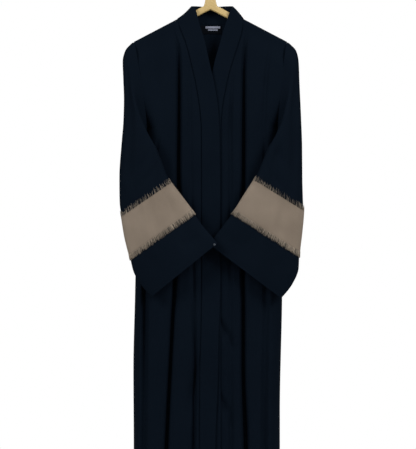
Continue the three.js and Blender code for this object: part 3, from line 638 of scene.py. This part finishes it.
def backColumns(z):
    right = panelEdge("right", z)[0]
    left = panelEdge("left", z)[0]
    sides = [(fold["x"] - fold["half"], fold["x"] + fold["half"]) for fold in backFoldsAt(z)]
    columns = acrossFolds([step - right for step in edgeSteps], sides)
    columns += afterEvenly(columns[-1], left - edgeSteps[-1], flatSteps)[:-1]
    return columns + [left - step for step in reversed(edgeSteps)]


def backTop(x):
    return -neckline(abs(x))["drop"] - cloth["seamGap"] if abs(x) < shoulder["neckPoint"] else shoulderZ(x)


def backPoint(x, z):
    hung = hangingDepth("back", x, z, backTop(x))
    if abs(x) < shoulder["neckPoint"]:
        hung = max(neckline(abs(x))["depth"], hung)
    side = "right" if x < 0 else "left"
    depth = max(hung - foldDent(x, backFoldsAt(z)), min(hung, minimumDepth))
    depth = roundedToEdge(side, x, z, depth)
    depth -= creaseDent(backCreases, x, z)
    return Vector((x, max(depth, cloth["leastDepth"]), z))


rows = panelRows(backTop, backColumns, backPoint)
clothPiece("back_panel_cloth", "back_panel", rows, cloth["thickness"], crepe)

print("front bands and collar")
bandLift = {"right": 3.2, "left": -3.6}
collarSag = {"right": 2.5, "left": -2}
leftCollarWiden = 1.165
bandAcross = 12
bandSpacing = 11
bandLeastSteps = 3
bandDepth = 15
standingRows = 3  # the first rows of the band stand up at the neck


def bandPoint(side, place, t):
    at = bandCurves[side](place)
    lying = smooth(place / standingRows)
    x = mix(at["seamX"] - signs[side] * cloth["seamGap"], at["freeX"], t)
    z = mix(at["seamZ"], at["freeZ"], t) - collarSag[side] * (1 - lying) * math.sin(math.pi * t)
    seamDepth = hangingDepth("front", at["seamX"], at["seamZ"])
    neckDepth = mix(cloth["leastDepth"], bandDepth, smooth(place))
    freeDepth = mix(neckDepth, max(seamDepth, bandDepth) + bandLift[side], lying)
    dent = creaseDent(bandCreases[side], x, z) * math.sin(math.pi * t) ** 0.5
    return Vector((x, dent - mix(seamDepth, freeDepth, t), z))


def bandPlaces(side):
    places = []
    for row, following in zip(bandRows[side], bandRows[side][1:]):
        length = math.hypot(following["freeZ"] - row["freeZ"], following["freeX"] - row["freeX"])
        steps = max(bandLeastSteps, round(length / bandSpacing))
        places += [row["row"] + k / steps for k in range(steps)]
    return places + [len(bandRows[side]) - 1]


for side in signs:
    steps = range(bandAcross + 1)
    rows = [[bandPoint(side, place, k / bandAcross) for k in steps] for place in bandPlaces(side)]
    clothPiece(f"{side}_front_band_cloth", f"{side}_front_band", rows, cloth["folded"], crepe)

neckBandTop = curveThrough(table("x topX depth drop", [
    (0, 0, 13.5, 97), (36, 22, 12.8, 95.5), (60, 36, 11, 94.5), (78, 45, 8.4, 94.5), (84, 48.5, 6, 95),
    (88, 50.5, 3.4, 95.6), (90, 51.5, 0.25, 96),
]))
neckBandRaise = {"centre": -1.5, "neckPoint": 0.6, "from": 60, "over": 30}
neckStations = [90, 89, 88, 86, 84, 81, 78, 72, 66, 60, 52, 44, 36, 27, 18, 9, 0]


def neckBandPoint(station, t):
    sign = math.copysign(1, station)
    low = neckline(abs(station))
    high = neckBandTop(abs(station))
    side = "left" if sign > 0 else "right"
    topX = high["topX"] * (leftCollarWiden if side == "left" else 1)
    nearPoint = smooth((abs(station) - neckBandRaise["from"]) / neckBandRaise["over"])
    sag = collarSag[side] * nearPoint * math.sin(math.pi * t)
    lifted = mix(neckBandRaise["centre"], neckBandRaise["neckPoint"], nearPoint) * (1 - t)
    x = sign * mix(abs(station), topX, t)
    z = mix(-low["drop"], -high["drop"], t) + lifted - sag
    return Vector((x, mix(low["depth"], high["depth"], t), z))


stations = [-x for x in neckStations] + neckStations[-2::-1]
rows = [[neckBandPoint(station, i / bandAcross) for station in stations] for i in range(bandAcross + 1)]
clothPiece("neck_band_cloth", "neck_band", rows, cloth["folded"], crepe)

print("sleeves")
sleeveRings = {
    "right": table("ring outX outY outZ inX inY inZ front back", [
        (0, -208, 0, -192.6, -168, 0, -428, 26, 26), (1, -219, 0, -202, -172, -6, -434, 27, 25),
        (2, -231, -1, -217, -173, -16, -442, 27, 22), (3, -238, -3, -247, -168, -30, -453, 27, 19),
        (4, -236, -8, -298, -158, -44, -467, 27, 18), (5, -234, -15, -352, -145, -52, -484, 26, 18),
        (6, -235, -23, -406, -138, -58, -503, 24, 17), (7, -240, -32, -474, -130, -61, -523, 22, 16),
        (8, -245, -42, -556, -122, -63, -545, 20, 15), (9, -244, -50, -626, -114, -64, -564, 18, 14),
        (10, -238, -54, -668, -106, -64, -577, 17, 13), (11, -229, -58, -722, -78, -65, -614, 16, 13),
        (12, -217, -61, -770, -50, -67, -651, 15, 12), (13, -206, -64, -815, -22, -75, -691, 13, 12),
        (14, -184, -66, -852, 0, -84, -717, 11, 10), (15, -158, -68, -882, 18, -90, -739, 9, 9),
    ]),
    "left": table("ring outX outY outZ inX inY inZ front back", [
        (0, 208, 0, -192.6, 178, 0, -424, 26, 26), (1, 220, 0, -203, 182, -6, -430, 27, 25),
        (2, 232, -1, -217, 182, -16, -438, 27, 22), (3, 239, -3, -247, 177, -30, -450, 27, 19),
        (4, 241, -8, -305, 168, -44, -465, 27, 18), (5, 243, -15, -356, 155, -52, -482, 26, 18),
        (6, 245, -23, -410, 147, -58, -501, 24, 17), (7, 247, -32, -485, 139, -61, -521, 22, 16),
        (8, 247, -42, -560, 131, -63, -541, 20, 15), (9, 248, -50, -618, 124, -64, -558, 18, 14),
        (10, 249, -54, -652, 117, -64, -570, 17, 13), (11, 244, -58, -710, 92, -64, -609, 16, 12),
        (12, 238, -61, -762, 66, -63, -650, 15, 11), (13, 236, -63, -806, 34, -62, -692, 12, 10),
        (14, 218, -64, -850, 13, -61, -720, 10, 9), (15, 189, -65, -886, -4, -61, -741, 8, 8),
    ]),
}
sleeveCurves = {side: curveThrough(rows) for side, rows in sleeveRings.items()}
sleeveFolds = {
    "right": table("turn width depth start end", [
        (0.15, 0.06, 5, 2, 9), (0.35, 0.07, 4, 4, 15), (0.7, 0.07, 7, 1, 9), (0.85, 0.06, 3.4, 6, 15)]),
    "left": table("turn width depth start end", [
        (0.15, 0.06, 5, 3, 9), (0.3, 0.07, 5, 6, 15), (0.7, 0.07, 5, 1, 9), (0.85, 0.06, 3.4, 5, 15)]),
}
sleeveCreases = {
    "right": creaseTable(
        [(-190, -228, 8, 0), (-190, -250, 8, 2), (-188, -275, 8, 0)],
        [(-226, -250, 9, 0), (-221, -330, 10, 2.4), (-224, -430, 11, 0)],
        [(-205, -300, 8, 0), (-200, -380, 9, -1.9), (-196, -470, 9, 0)],
        [(-160, -478, 8, 0), (-184, -528, 10, 2.8), (-206, -566, 10, 0)],
        [(-140, -516, 8, 0), (-166, -560, 9, 2.4), (-196, -598, 9, 0)],
        [(-232, -540, 9, 0), (-222, -590, 10, -2), (-206, -640, 10, 0)],
        [(-186, -600, 9, 0), (-180, -650, 10, -2.4), (-168, -715, 10, -2.2), (-158, -770, 9, 0)],
        [(-165, -606, 9, 0), (-156, -660, 10, 2.6), (-145, -715, 10, 2.2), (-138, -770, 9, 0)],
        [(-110, -600, 9, 0), (-104, -650, 10, 1.8), (-96, -700, 10, 0)],
        [(-180, -762, 9, 0), (-152, -790, 10, 2.2), (-132, -828, 10, 0)],
        [(-92, -700, 9, 0), (-74, -735, 10, 2), (-62, -775, 9, 0)],
        [(-26, -716, 7, 0), (-50, -736, 9, 1.8), (-78, -744, 9, 0)],
    ),
    "left": creaseTable(
        [(198, -228, 8, 0), (198, -270, 8, 2.2), (196, -312, 8, 0)],
        [(229, -255, 9, 0), (225, -340, 10, 2.2), (228, -440, 10, 0)],
        [(208, -330, 9, 0), (202, -400, 9, -1.9), (199, -480, 9, 0)],
        [(172, -462, 8, 0), (192, -515, 10, 2.7), (216, -560, 10, 0)],
        [(150, -520, 8, 0), (170, -562, 9, 2.3), (198, -600, 9, 0)],
        [(236, -585, 9, 0), (222, -622, 10, -1.8), (204, -650, 10, 0)],
        [(206, -585, 9, 0), (196, -640, 10, 2.4), (184, -705, 10, 2), (178, -760, 9, 0)],
        [(182, -580, 9, 0), (172, -635, 10, -2.4), (160, -700, 10, -2), (152, -750, 9, 0)],
        [(212, -600, 15, 0), (209, -640, 16, 2.2), (204, -690, 16, 2.2), (196, -745, 15, 0)],
        [(130, -590, 9, 0), (118, -640, 10, 1.8), (110, -690, 10, 0)],
        [(208, -762, 9, 0), (184, -792, 10, 2.2), (166, -832, 10, 0)],
        [(122, -705, 9, 0), (100, -740, 10, 2), (86, -782, 9, 0)],
        [(36, -716, 7, 0), (60, -738, 9, 1.7), (86, -750, 9, 0)],
    ),
}
hiddenSleeveCreases = {
    "right": creaseTable(
        [(-214, -280, 9, 0), (-206, -370, 10, 2.4), (-210, -470, 10, 0)],
        [(-176, -500, 9, 0), (-192, -560, 10, 2.2), (-214, -620, 10, 0)],
        [(-170, -620, 9, 0), (-158, -700, 10, 2), (-146, -780, 10, 0)],
    ),
    "left": creaseTable(
        [(216, -290, 9, 0), (210, -380, 10, 2.4), (214, -480, 10, 0)],
        [(170, -510, 9, 0), (192, -566, 10, 2.2), (218, -612, 10, 0)],
        [(190, -620, 9, 0), (176, -700, 10, 2), (164, -780, 10, 0)],
    ),
}
armholeSeam = {"out": 0.5, "outEnds": 3, "tuck": 3.2, "shrink": 0.035, "ends": 0.4}
foldFades = 2  # rings over which a fold runs out
lastRing = 15
ringSteps = 6
sleeveTurns = 84


def sleevePoint(side, ring, turn):
    row = sleeveCurves[side](ring)
    angle = 2 * math.pi * turn
    outer = Vector((row["outX"], row["outY"], row["outZ"]))
    inner = Vector((row["inX"], row["inY"], row["inZ"]))
    sine = math.sin(angle)
    depth = row["front"] if sine > 0 else row["back"]
    for fold in sleeveFolds[side]:
        away = abs(turn % 1 - fold["turn"]) / fold["width"]
        if away < 1:
            grown = smooth(ring - fold["start"]) * smooth((fold["end"] - ring) / foldFades)
            depth -= fold["depth"] * grown * smooth(1 - away)
    point = (outer + inner) / 2 + (outer - inner) / 2 * math.cos(angle)
    point.y -= depth * math.copysign(abs(sine) ** ovalPower, sine)
    tucked = 1 - smooth(ring / armholeSeam["ends"])
    out = armholeSeam["out"] * (1 - smooth(ring / armholeSeam["outEnds"]))
    point.x += signs[side] * (out - armholeSeam["tuck"] * tucked)
    hole = armholes[side]
    point.z -= (point.z - (hole["topZ"] + hole["lowZ"]) / 2) * armholeSeam["shrink"] * tucked
    point.y *= 1 - armholeSeam["shrink"] * tucked
    creases = sleeveCreases if sine > 0 else hiddenSleeveCreases
    dent = creaseDent(creases[side], point.x, point.z)
    point.y += dent * max(-1, min(1, 3 * sine))
    return point


for side in signs:
    rows = [
        [sleevePoint(side, k / ringSteps, turn / sleeveTurns) for turn in range(sleeveTurns + 1)]
        for k in range(lastRing * ringSteps + 1)
    ]
    clothPiece(f"{side}_sleeve_cloth", f"{side}_sleeve", rows, cloth["thickness"], crepe, closed=True)

# Small steps along and round a sleeve, which give the way its cloth faces
nearby = {"ring": 0.05, "turn": 0.004}


def onSleeve(side, ring, turn, lift):
    point = sleevePoint(side, ring, turn)
    around = sleevePoint(side, ring, turn + nearby["turn"]) - sleevePoint(side, ring, turn - nearby["turn"])
    low = min(ring + nearby["ring"], lastRing)
    along = sleevePoint(side, low, turn) - sleevePoint(side, low - 2 * nearby["ring"], turn)
    normal = around.cross(along).normalized()
    if normal.dot(point - sleevePoint(side, ring, turn + 0.5)) < 0:
        normal.negate()
    return point + normal * lift


print("cuff bands")
cuff = {"start": 10, "end": 12, "lift": 2.05, "turns": 100, "rows": 22}
for side in signs:
    rows = [
        [onSleeve(side, ring, k / cuff["turns"], cuff["lift"]) for k in range(cuff["turns"] + 1)]
        for ring in evenly(cuff["start"], cuff["end"], cuff["rows"]) + [cuff["end"]]
    ]
    clothPiece(f"{side}_cuff_band_cloth", f"{side}_cuff_band", rows, cloth["woven"], wovenBand, closed=True)


# A direction that no thread runs along
aside = Vector((0.2, 1, 0.1))


# Thin threads, each a list of points that tapers at its tip, joined in one mesh
def threads(name, paths, material, radius, taper=0.45, sides=3):
    bm = bmesh.new()
    toneLayer = bm.verts.layers.float.new("tone")
    for path, tone in paths:
        before = None
        for k, point in enumerate(path):
            ahead = path[min(k + 1, len(path) - 1)] - path[max(k - 1, 0)]
            across = ahead.cross(aside).normalized()
            other = ahead.cross(across).normalized()
            size = radius * mix(1, taper, (k / (len(path) - 1)) ** 2)
            ring = []
            for n in range(sides):
                angle = 2 * math.pi * n / sides
                v = bm.verts.new((point + (across * math.cos(angle) + other * math.sin(angle)) * size) * mm)
                v[toneLayer] = tone
                ring.append(v)
            if before:
                for n in range(sides):
                    face = bm.faces.new((before[n], before[(n + 1) % sides], ring[(n + 1) % sides], ring[n]))
                    face.smooth = True
            else:
                bm.faces.new(ring[::-1])
            before = ring
        bm.faces.new(before)
    bmesh.ops.recalc_face_normals(bm, faces=bm.faces)
    return newObject(name, bm, material)


print("fringes")
sewnOn = {}


# A trim goes with the sheet it is sewn to
def sewOn(sheet, obj):
    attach(obj, "root")
    sewnOn.setdefault(sheet, []).append(obj)


fringe = {
    "lower": {
        "count": 450, "length": 15, "vary": 2.4, "curl": 0.9, "radius": 0.72,
        "dark": 0.05, "clump": 0.5, "tones": (0.38, 0.92),
    },
    "upper": {
        "count": 250, "length": 13, "vary": 6, "curl": 1.6, "radius": 0.46,
        "dark": 0.42, "clump": 2.1, "tones": (0.45, 0.85),
    },
}
yarn = {
    "steps": 5, "apart": 0.3, "lifts": (-0.5, 0.7), "under": 1.2, "lean": 1.6, "wave": 4.4, "rise": 0.5,
    "fineClumps": 1.37, "coarseClumps": 0.29, "darkTones": (0, 0.2), "ringStep": 0.4, "turnStep": 0.002,
}
chance = random.Random(7)


def fringePaths(side, edge):
    look = fringe[edge]
    away = -1 if edge == "upper" else 1
    edgeRing = cuff["start"] if edge == "upper" else cuff["end"]
    paths = []
    for k in range(look["count"]):
        clump = look["clump"] * math.sin(k * yarn["fineClumps"]) * math.cos(k * yarn["coarseClumps"])
        turn = (k + clump + chance.uniform(-yarn["apart"], yarn["apart"])) / look["count"]
        length = look["length"] + chance.uniform(-1, 1) * look["vary"]
        lift = cuff["lift"] + chance.uniform(*yarn["lifts"])
        lean = chance.uniform(-1, 1) * yarn["lean"]
        curl = chance.uniform(-1, 1) * look["curl"]
        start = onSleeve(side, edgeRing, turn, lift)
        beyond = onSleeve(side, edgeRing + away * yarn["ringStep"], turn, lift)
        ringLength = (start - beyond).length / yarn["ringStep"]
        around = (onSleeve(side, edgeRing, turn + yarn["turnStep"], lift) - start).length / yarn["turnStep"]
        path = []
        for n in range(yarn["steps"] + 1):
            share = n / yarn["steps"]
            ring = edgeRing + away * (share * length - yarn["under"]) / ringLength
            turned = turn + (lean * share + curl * math.sin(share * yarn["wave"])) / around
            path.append(onSleeve(side, ring, turned, lift + yarn["rise"] * share))
        dark = chance.random() < look["dark"]
        paths.append((path, chance.uniform(*(yarn["darkTones"] if dark else look["tones"]))))
    return paths


for side in signs:
    for edge in ("upper", "lower"):
        paths = fringePaths(side, edge)
        yarns = threads(f"{side}_fringe_{edge}_yarns", paths, fringeYarn, fringe[edge]["radius"])
        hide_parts(f"{side}_fringe_{edge}")
        sewOn(f"{side}_cuff_band_cloth", yarns)

print("label and stud")
label = {"half": 30, "top": -147, "bottom": -170, "thickness": 0.5, "off": 1.4, "columns": 16, "rows": 6}


def labelPoint(x, z):
    hung = max(neckline(abs(x))["depth"], depthByHeight(-z)["back"])
    return Vector((x, hung - label["off"], z))


columns = evenly(-label["half"], label["half"], label["columns"]) + [label["half"]]
heights = evenly(label["top"], label["bottom"], label["rows"]) + [label["bottom"]]
rows = [[labelPoint(x, z) for x in columns] for z in heights]
clothPiece("neck_label_satin", "neck_label", rows, label["thickness"], labelSatin)

stud = {"ring": 14.8, "turn": 0.44, "seat": 1.05, "above": 4}
studProfile = table("r h", [
    (0, 0), (2.8, 0), (3.3, 0.25), (3.5, 0.7), (3.45, 1.05), (3.2, 1.45), (2.6, 1.9), (1.75, 2.2), (0.9, 2.36),
    (0, 2.4),
])


def lathe(name, profile, seat, outward, material, segments=36):
    bm = bmesh.new()
    turned = outward.to_track_quat("Z", "Y")
    line = [bm.verts.new((row["r"], 0, row["h"])) for row in profile]
    edges = [bm.edges.new(pair) for pair in zip(line, line[1:])]
    bmesh.ops.spin(
        bm, geom=line + edges, cent=(0, 0, 0), axis=(0, 0, 1), dvec=(0, 0, 0), angle=2 * math.pi,
        steps=segments, use_merge=True)
    bmesh.ops.remove_doubles(bm, verts=bm.verts, dist=0.0001)
    bmesh.ops.recalc_face_normals(bm, faces=bm.faces)
    for v in bm.verts:
        v.co = (seat + turned @ v.co) * mm
    for face in bm.faces:
        face.smooth = True
    return newObject(name, bm, material)


seat = onSleeve("right", stud["ring"], stud["turn"], stud["seat"])
outward = (onSleeve("right", stud["ring"], stud["turn"], stud["above"]) - seat).normalized()
cuffStud = lathe("cuff_stud_head", studProfile, seat, outward, studResin)
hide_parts("cuff_stud")
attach(cuffStud, "root")

print("stitches")
stitch = {"length": 2.6, "pitch": 4.0, "radius": 0.2, "raise": 0.22, "flank": 0.6}
sewing = {"points": 200, "cuffInset": 0.06, "sleeveHemRing": 14.6, "hemHeight": -1520, "sideways": 0.02}


# Stitches along a line of points, each with its outward direction
def stitchPaths(line, pitch=stitch["pitch"], length=stitch["length"]):
    paths = []
    travelled = 0
    following = pitch / 2
    for (a, outA), (b, outB) in zip(line, line[1:]):
        span = (b - a).length
        while following < travelled + span:
            t = (following - travelled) / span
            middle = a.lerp(b, t)
            outward = outA.lerp(outB, t).normalized()
            half = (b - a).normalized() * length / 2
            bulge = outward * stitch["raise"]
            flank = half * stitch["flank"]
            sideBulge = bulge * stitch["flank"]
            path = [
                middle - half - bulge, middle - flank + sideBulge, middle + bulge,
                middle + flank + sideBulge, middle + half - bulge,
            ]
            paths.append((path, chance.random()))
            following += pitch
        travelled += span
    return paths


def sleeveLine(side, ring, lift):
    line = []
    for k in range(sewing["points"] + 1):
        turn = k / sewing["points"]
        point = onSleeve(side, ring, turn, lift)
        line.append((point, (onSleeve(side, ring, turn, lift + 1) - point).normalized()))
    return line


def hemLine(points, lift, forward):
    line = []
    for k, point in enumerate(points):
        ahead = points[min(k + 1, len(points) - 1)] - points[max(k - 1, 0)]
        outward = Vector((ahead.y, -ahead.x, 0)).normalized()
        if outward.y * forward <= 0 and abs(outward.y) >= sewing["sideways"]:
            outward.negate()
        line.append((point + outward * lift, outward))
    return line


def sew(name, sheet, paths, material, radius=stitch["radius"]):
    sewOn(sheet, threads(name, paths, material, radius, taper=1, sides=4))


onCloth = cloth["thickness"] / 2
onBand = cuff["lift"] + cloth["woven"] / 2
for side in signs:
    edges = []
    for ring in (cuff["start"] + sewing["cuffInset"], cuff["end"] - sewing["cuffInset"]):
        edges += stitchPaths(sleeveLine(side, ring, onBand))
    sew(f"{side}_cuff_band_stitches", f"{side}_cuff_band_cloth", edges, taupeThread)
    sleeveHem = stitchPaths(sleeveLine(side, sewing["sleeveHemRing"], onCloth))
    sew(f"{side}_sleeve_hem_stitches", f"{side}_sleeve_cloth", sleeveHem, darkThread)
    columns = frontColumns(side, sewing["hemHeight"])
    frontHem = stitchPaths(hemLine([frontPoint(side, x, sewing["hemHeight"]) for x in columns], onCloth, -1))
    sew(f"{side}_front_hem_stitches", f"{side}_front_panel_cloth", frontHem, darkThread)
columns = backColumns(sewing["hemHeight"])
backHem = stitchPaths(hemLine([backPoint(x, sewing["hemHeight"]) for x in columns], onCloth, 1))
sew("back_hem_stitches", "back_panel_cloth", backHem, darkThread)

labelStitch = {"pitch": 2.9, "length": 1.7, "radius": 0.16, "points": 24}
labelSeams = table("x0 z0 x1 z1", [
    (-28.6, -148, -28.6, -169),
    (28.6, -148, 28.6, -169),
    (-28.6, -148.2, 28.6, -148.2),
    (-28.6, -168.8, 28.6, -168.8),
])
inward = Vector((0, -1, 0))
labelEdges = []
for edge in labelSeams:
    line = []
    for t in evenly(0, 1, labelStitch["points"]) + [1]:
        point = labelPoint(mix(edge["x0"], edge["x1"], t), mix(edge["z0"], edge["z1"], t))
        line.append((point + inward * label["thickness"] / 2, inward))
    labelEdges += stitchPaths(line, labelStitch["pitch"], labelStitch["length"])
sew("label_stitches", "neck_label_satin", labelEdges, darkThread, labelStitch["radius"])

print("hanger")
hanger = {
    "slope": 0.524, "alongSlope": 1.13, "top": -85.5, "half": 6, "end": 204, "deepCentre": 20, "deepEnd": 17,
    "rounding": 4.5, "cornerSteps": 5, "neckHalf": 19, "pinch": 0.22, "pinchLength": 5,
}
hangerEnds = curveThrough(table("inward narrow", [(0, 4.6), (0.6, 3.2), (2, 1.3), (4, 0.35), (6, 0)]))
hangerNeck = curveThrough(table("x high", [
    (0, -62), (6, -62.1), (9, -62.6), (10.5, -63.6), (12, -67), (13, -72), (14.5, -80), (16.5, -89),
    (19, -95.46),
]))


def hangerHeights(x):
    x = abs(x)
    high = hanger["top"] - hanger["slope"] * x
    narrow = hangerEnds(hanger["end"] - x)["narrow"]
    low = high - mix(hanger["deepCentre"], hanger["deepEnd"], x / hanger["end"]) + narrow
    return (hangerNeck(x)["high"] if x <= hanger["neckHalf"] else high - narrow), low


def hangerSection(x):
    high, low = hangerHeights(x)
    inward = hanger["end"] - abs(x)
    pinch = 1 - hanger["pinch"] * (1 - smooth(inward / hanger["pinchLength"]))
    steps = hanger["cornerSteps"]
    points = []
    for ySign, zSign in ((1, 1), (1, -1), (-1, -1), (-1, 1)):
        order = range(steps + 1) if ySign * zSign > 0 else range(steps, -1, -1)
        for k in order:
            angle = k / steps * math.pi / 2
            y = ySign * (hanger["half"] - hanger["rounding"] + hanger["rounding"] * math.sin(angle))
            edge = high - hanger["rounding"] if zSign > 0 else low + hanger["rounding"]
            points.append(Vector((x, y * pinch, edge + zSign * hanger["rounding"] * math.cos(angle))))
    return points


armStations = [204, 203.6, 203, 202, 200.5, 199, 197.5] + [190 - 10 * k for k in range(17)]
besideNeck = [25, 21, 19, 18, 17, 16, 15, 14, 13, 12, 11, 10, 9, 7.5, 6, 4, 2]
half = armStations + besideNeck
stations = half + [0] + [-x for x in reversed(half)]
rows = [hangerSection(x) for x in stations]
ring = len(rows[0])
bm = bmesh.new()
uvLayer = bm.loops.layers.uv.new("weave")
made = [[bm.verts.new(point * mm) for point in row] for row in rows]
for i in range(len(rows) - 1):
    for j in range(ring):
        k = (j + 1) % ring
        face = bm.faces.new((made[i][j], made[i][k], made[i + 1][k], made[i + 1][j]))
        face.smooth = True
        for loop in face.loops:
            x, y, z = loop.vert.co
            loop[uvLayer].uv = (x * hanger["alongSlope"], z + hanger["slope"] * abs(x))
for row in (made[0], made[-1]):
    bm.faces.new(row)
bmesh.ops.recalc_face_normals(bm, faces=bm.faces)
arms = newObject("hanger_arms_wood", bm, wood)
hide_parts("hanger_arms")
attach(arms, "root")

hook = {"radius": 1.75, "inner": 18.5, "foot": -61.7, "sweep": 1.32, "steps": 72, "footSteps": 6, "tip": 0.9}


def hookPath():
    radius = hook["inner"] + hook["radius"]
    centre = -hook["inner"]
    path = [Vector((0, 0, z)) for z in evenly(hook["foot"], centre - radius, hook["footSteps"])]
    for k in range(hook["steps"] + 1):
        angle = -0.5 * math.pi + hook["sweep"] * math.pi * k / hook["steps"]
        path.append(Vector((radius * math.cos(angle), 0, centre + radius * math.sin(angle))))
    tip = path[-1] + (path[-1] - path[-2]).normalized() * hook["tip"]
    return path + [tip]


hookWire = threads("hanger_hook_wire", [(hookPath(), 1)], wire, hook["radius"], taper=1, sides=20)
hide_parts("hanger_hook")
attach(hookWire, "root")

# Each sheet's size in metres, measured over its folds: a sleeve and a cuff band all round, a band as folded
cuts = table("name width length area", [
    ("right_front_panel_cloth", 0.278, 1.42, 0.331),
    ("left_front_panel_cloth", 0.249, 1.419, 0.302),
    ("back_panel_cloth", 0.559, 1.412, 0.716),
    ("right_front_band_cloth", 0.06, 1.464, 0.068),
    ("left_front_band_cloth", 0.053, 1.462, 0.073),
    ("neck_band_cloth", 0.196, 0.053, 0.0075),
    ("right_sleeve_cloth", 0.51, 0.727, 0.176),
    ("left_sleeve_cloth", 0.499, 0.726, 0.175),
    ("right_cuff_band_cloth", 0.437, 0.105, 0.038),
    ("left_cuff_band_cloth", 0.437, 0.111, 0.038),
    ("neck_label_satin", 0.06, 0.023, 0.00138),
])
for cut in cuts:
    obj, area = sheets[cut["name"]]
    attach(obj, "root")
    print(obj.name, "is", round(area, 4), "of", cut["area"], "square metres")

print("camera, light and floor")
view = {"distance": 5.0, "x": -0.00675, "z": -0.6885, "frameWidth": 1.1232, "planeY": -0.03, "sensor": 36}
cameraData = bpy.data.cameras.new("camera")
cameraData.sensor_fit = "HORIZONTAL"
cameraData.sensor_width = view["sensor"]
cameraData.lens = view["sensor"] * (view["distance"] + view["planeY"]) / view["frameWidth"]
camera = bpy.data.objects.new("camera", cameraData)
camera.location = (view["x"], -view["distance"], view["z"])
camera.rotation_euler = (math.radians(90), 0, 0)
bpy.context.scene.collection.objects.link(camera)
bpy.context.scene.camera = camera

# White paper behind the garment; on the garment itself only a faint fill
studio = {"paper": 1.0, "fill": 0.2, "aim": (0, 0, -0.75), "floorSize": 1.1, "floorZ": -1.62}
world = bpy.data.worlds.new("studio")
bpy.context.scene.world = world
world.use_nodes = True
tree = world.node_tree
fill = tree.nodes["Background"]
fill.inputs["Color"].default_value = (1, 1, 1, 1)
fill.inputs["Strength"].default_value = studio["fill"]
seen = addNode(tree, "ShaderNodeLightPath", {})
paper = addNode(tree, "ShaderNodeBackground", {"Color": (1, 1, 1, 1), "Strength": studio["paper"]})
both = addNode(tree, "ShaderNodeMixShader", {
    0: seen.outputs["Is Camera Ray"], 1: fill.outputs[0], 2: paper.outputs[0],
})
tree.links.new(both.outputs[0], tree.nodes["World Output"].inputs["Surface"])

softboxes = table("x y z width power", [
    (2.4, -2.2, 1.3, 1.4, 96),
    (-2.4, -2.0, 1.1, 1.4, 74),
    (0.3, -3.6, 1.3, 1.2, 18),
    (0, 2.4, 0.4, 2.0, 40),
])
for k, box in enumerate(softboxes):
    data = bpy.data.lights.new(f"softbox {k}", "AREA")
    data.shape = "SQUARE"
    data.size = box["width"]
    data.energy = box["power"]
    light = bpy.data.objects.new(f"softbox {k}", data)
    light.location = (box["x"], box["y"], box["z"])
    light.rotation_euler = (Vector(studio["aim"]) - light.location).to_track_quat("-Z", "Y").to_euler()
    bpy.context.scene.collection.objects.link(light)

bm = bmesh.new()
bmesh.ops.create_grid(bm, x_segments=1, y_segments=1, size=studio["floorSize"])
for v in bm.verts:
    v.co.z = studio["floorZ"]
floor = newObject("floor", bm, floorPaint)
bpy.context.scene.view_settings.view_transform = "Standard"
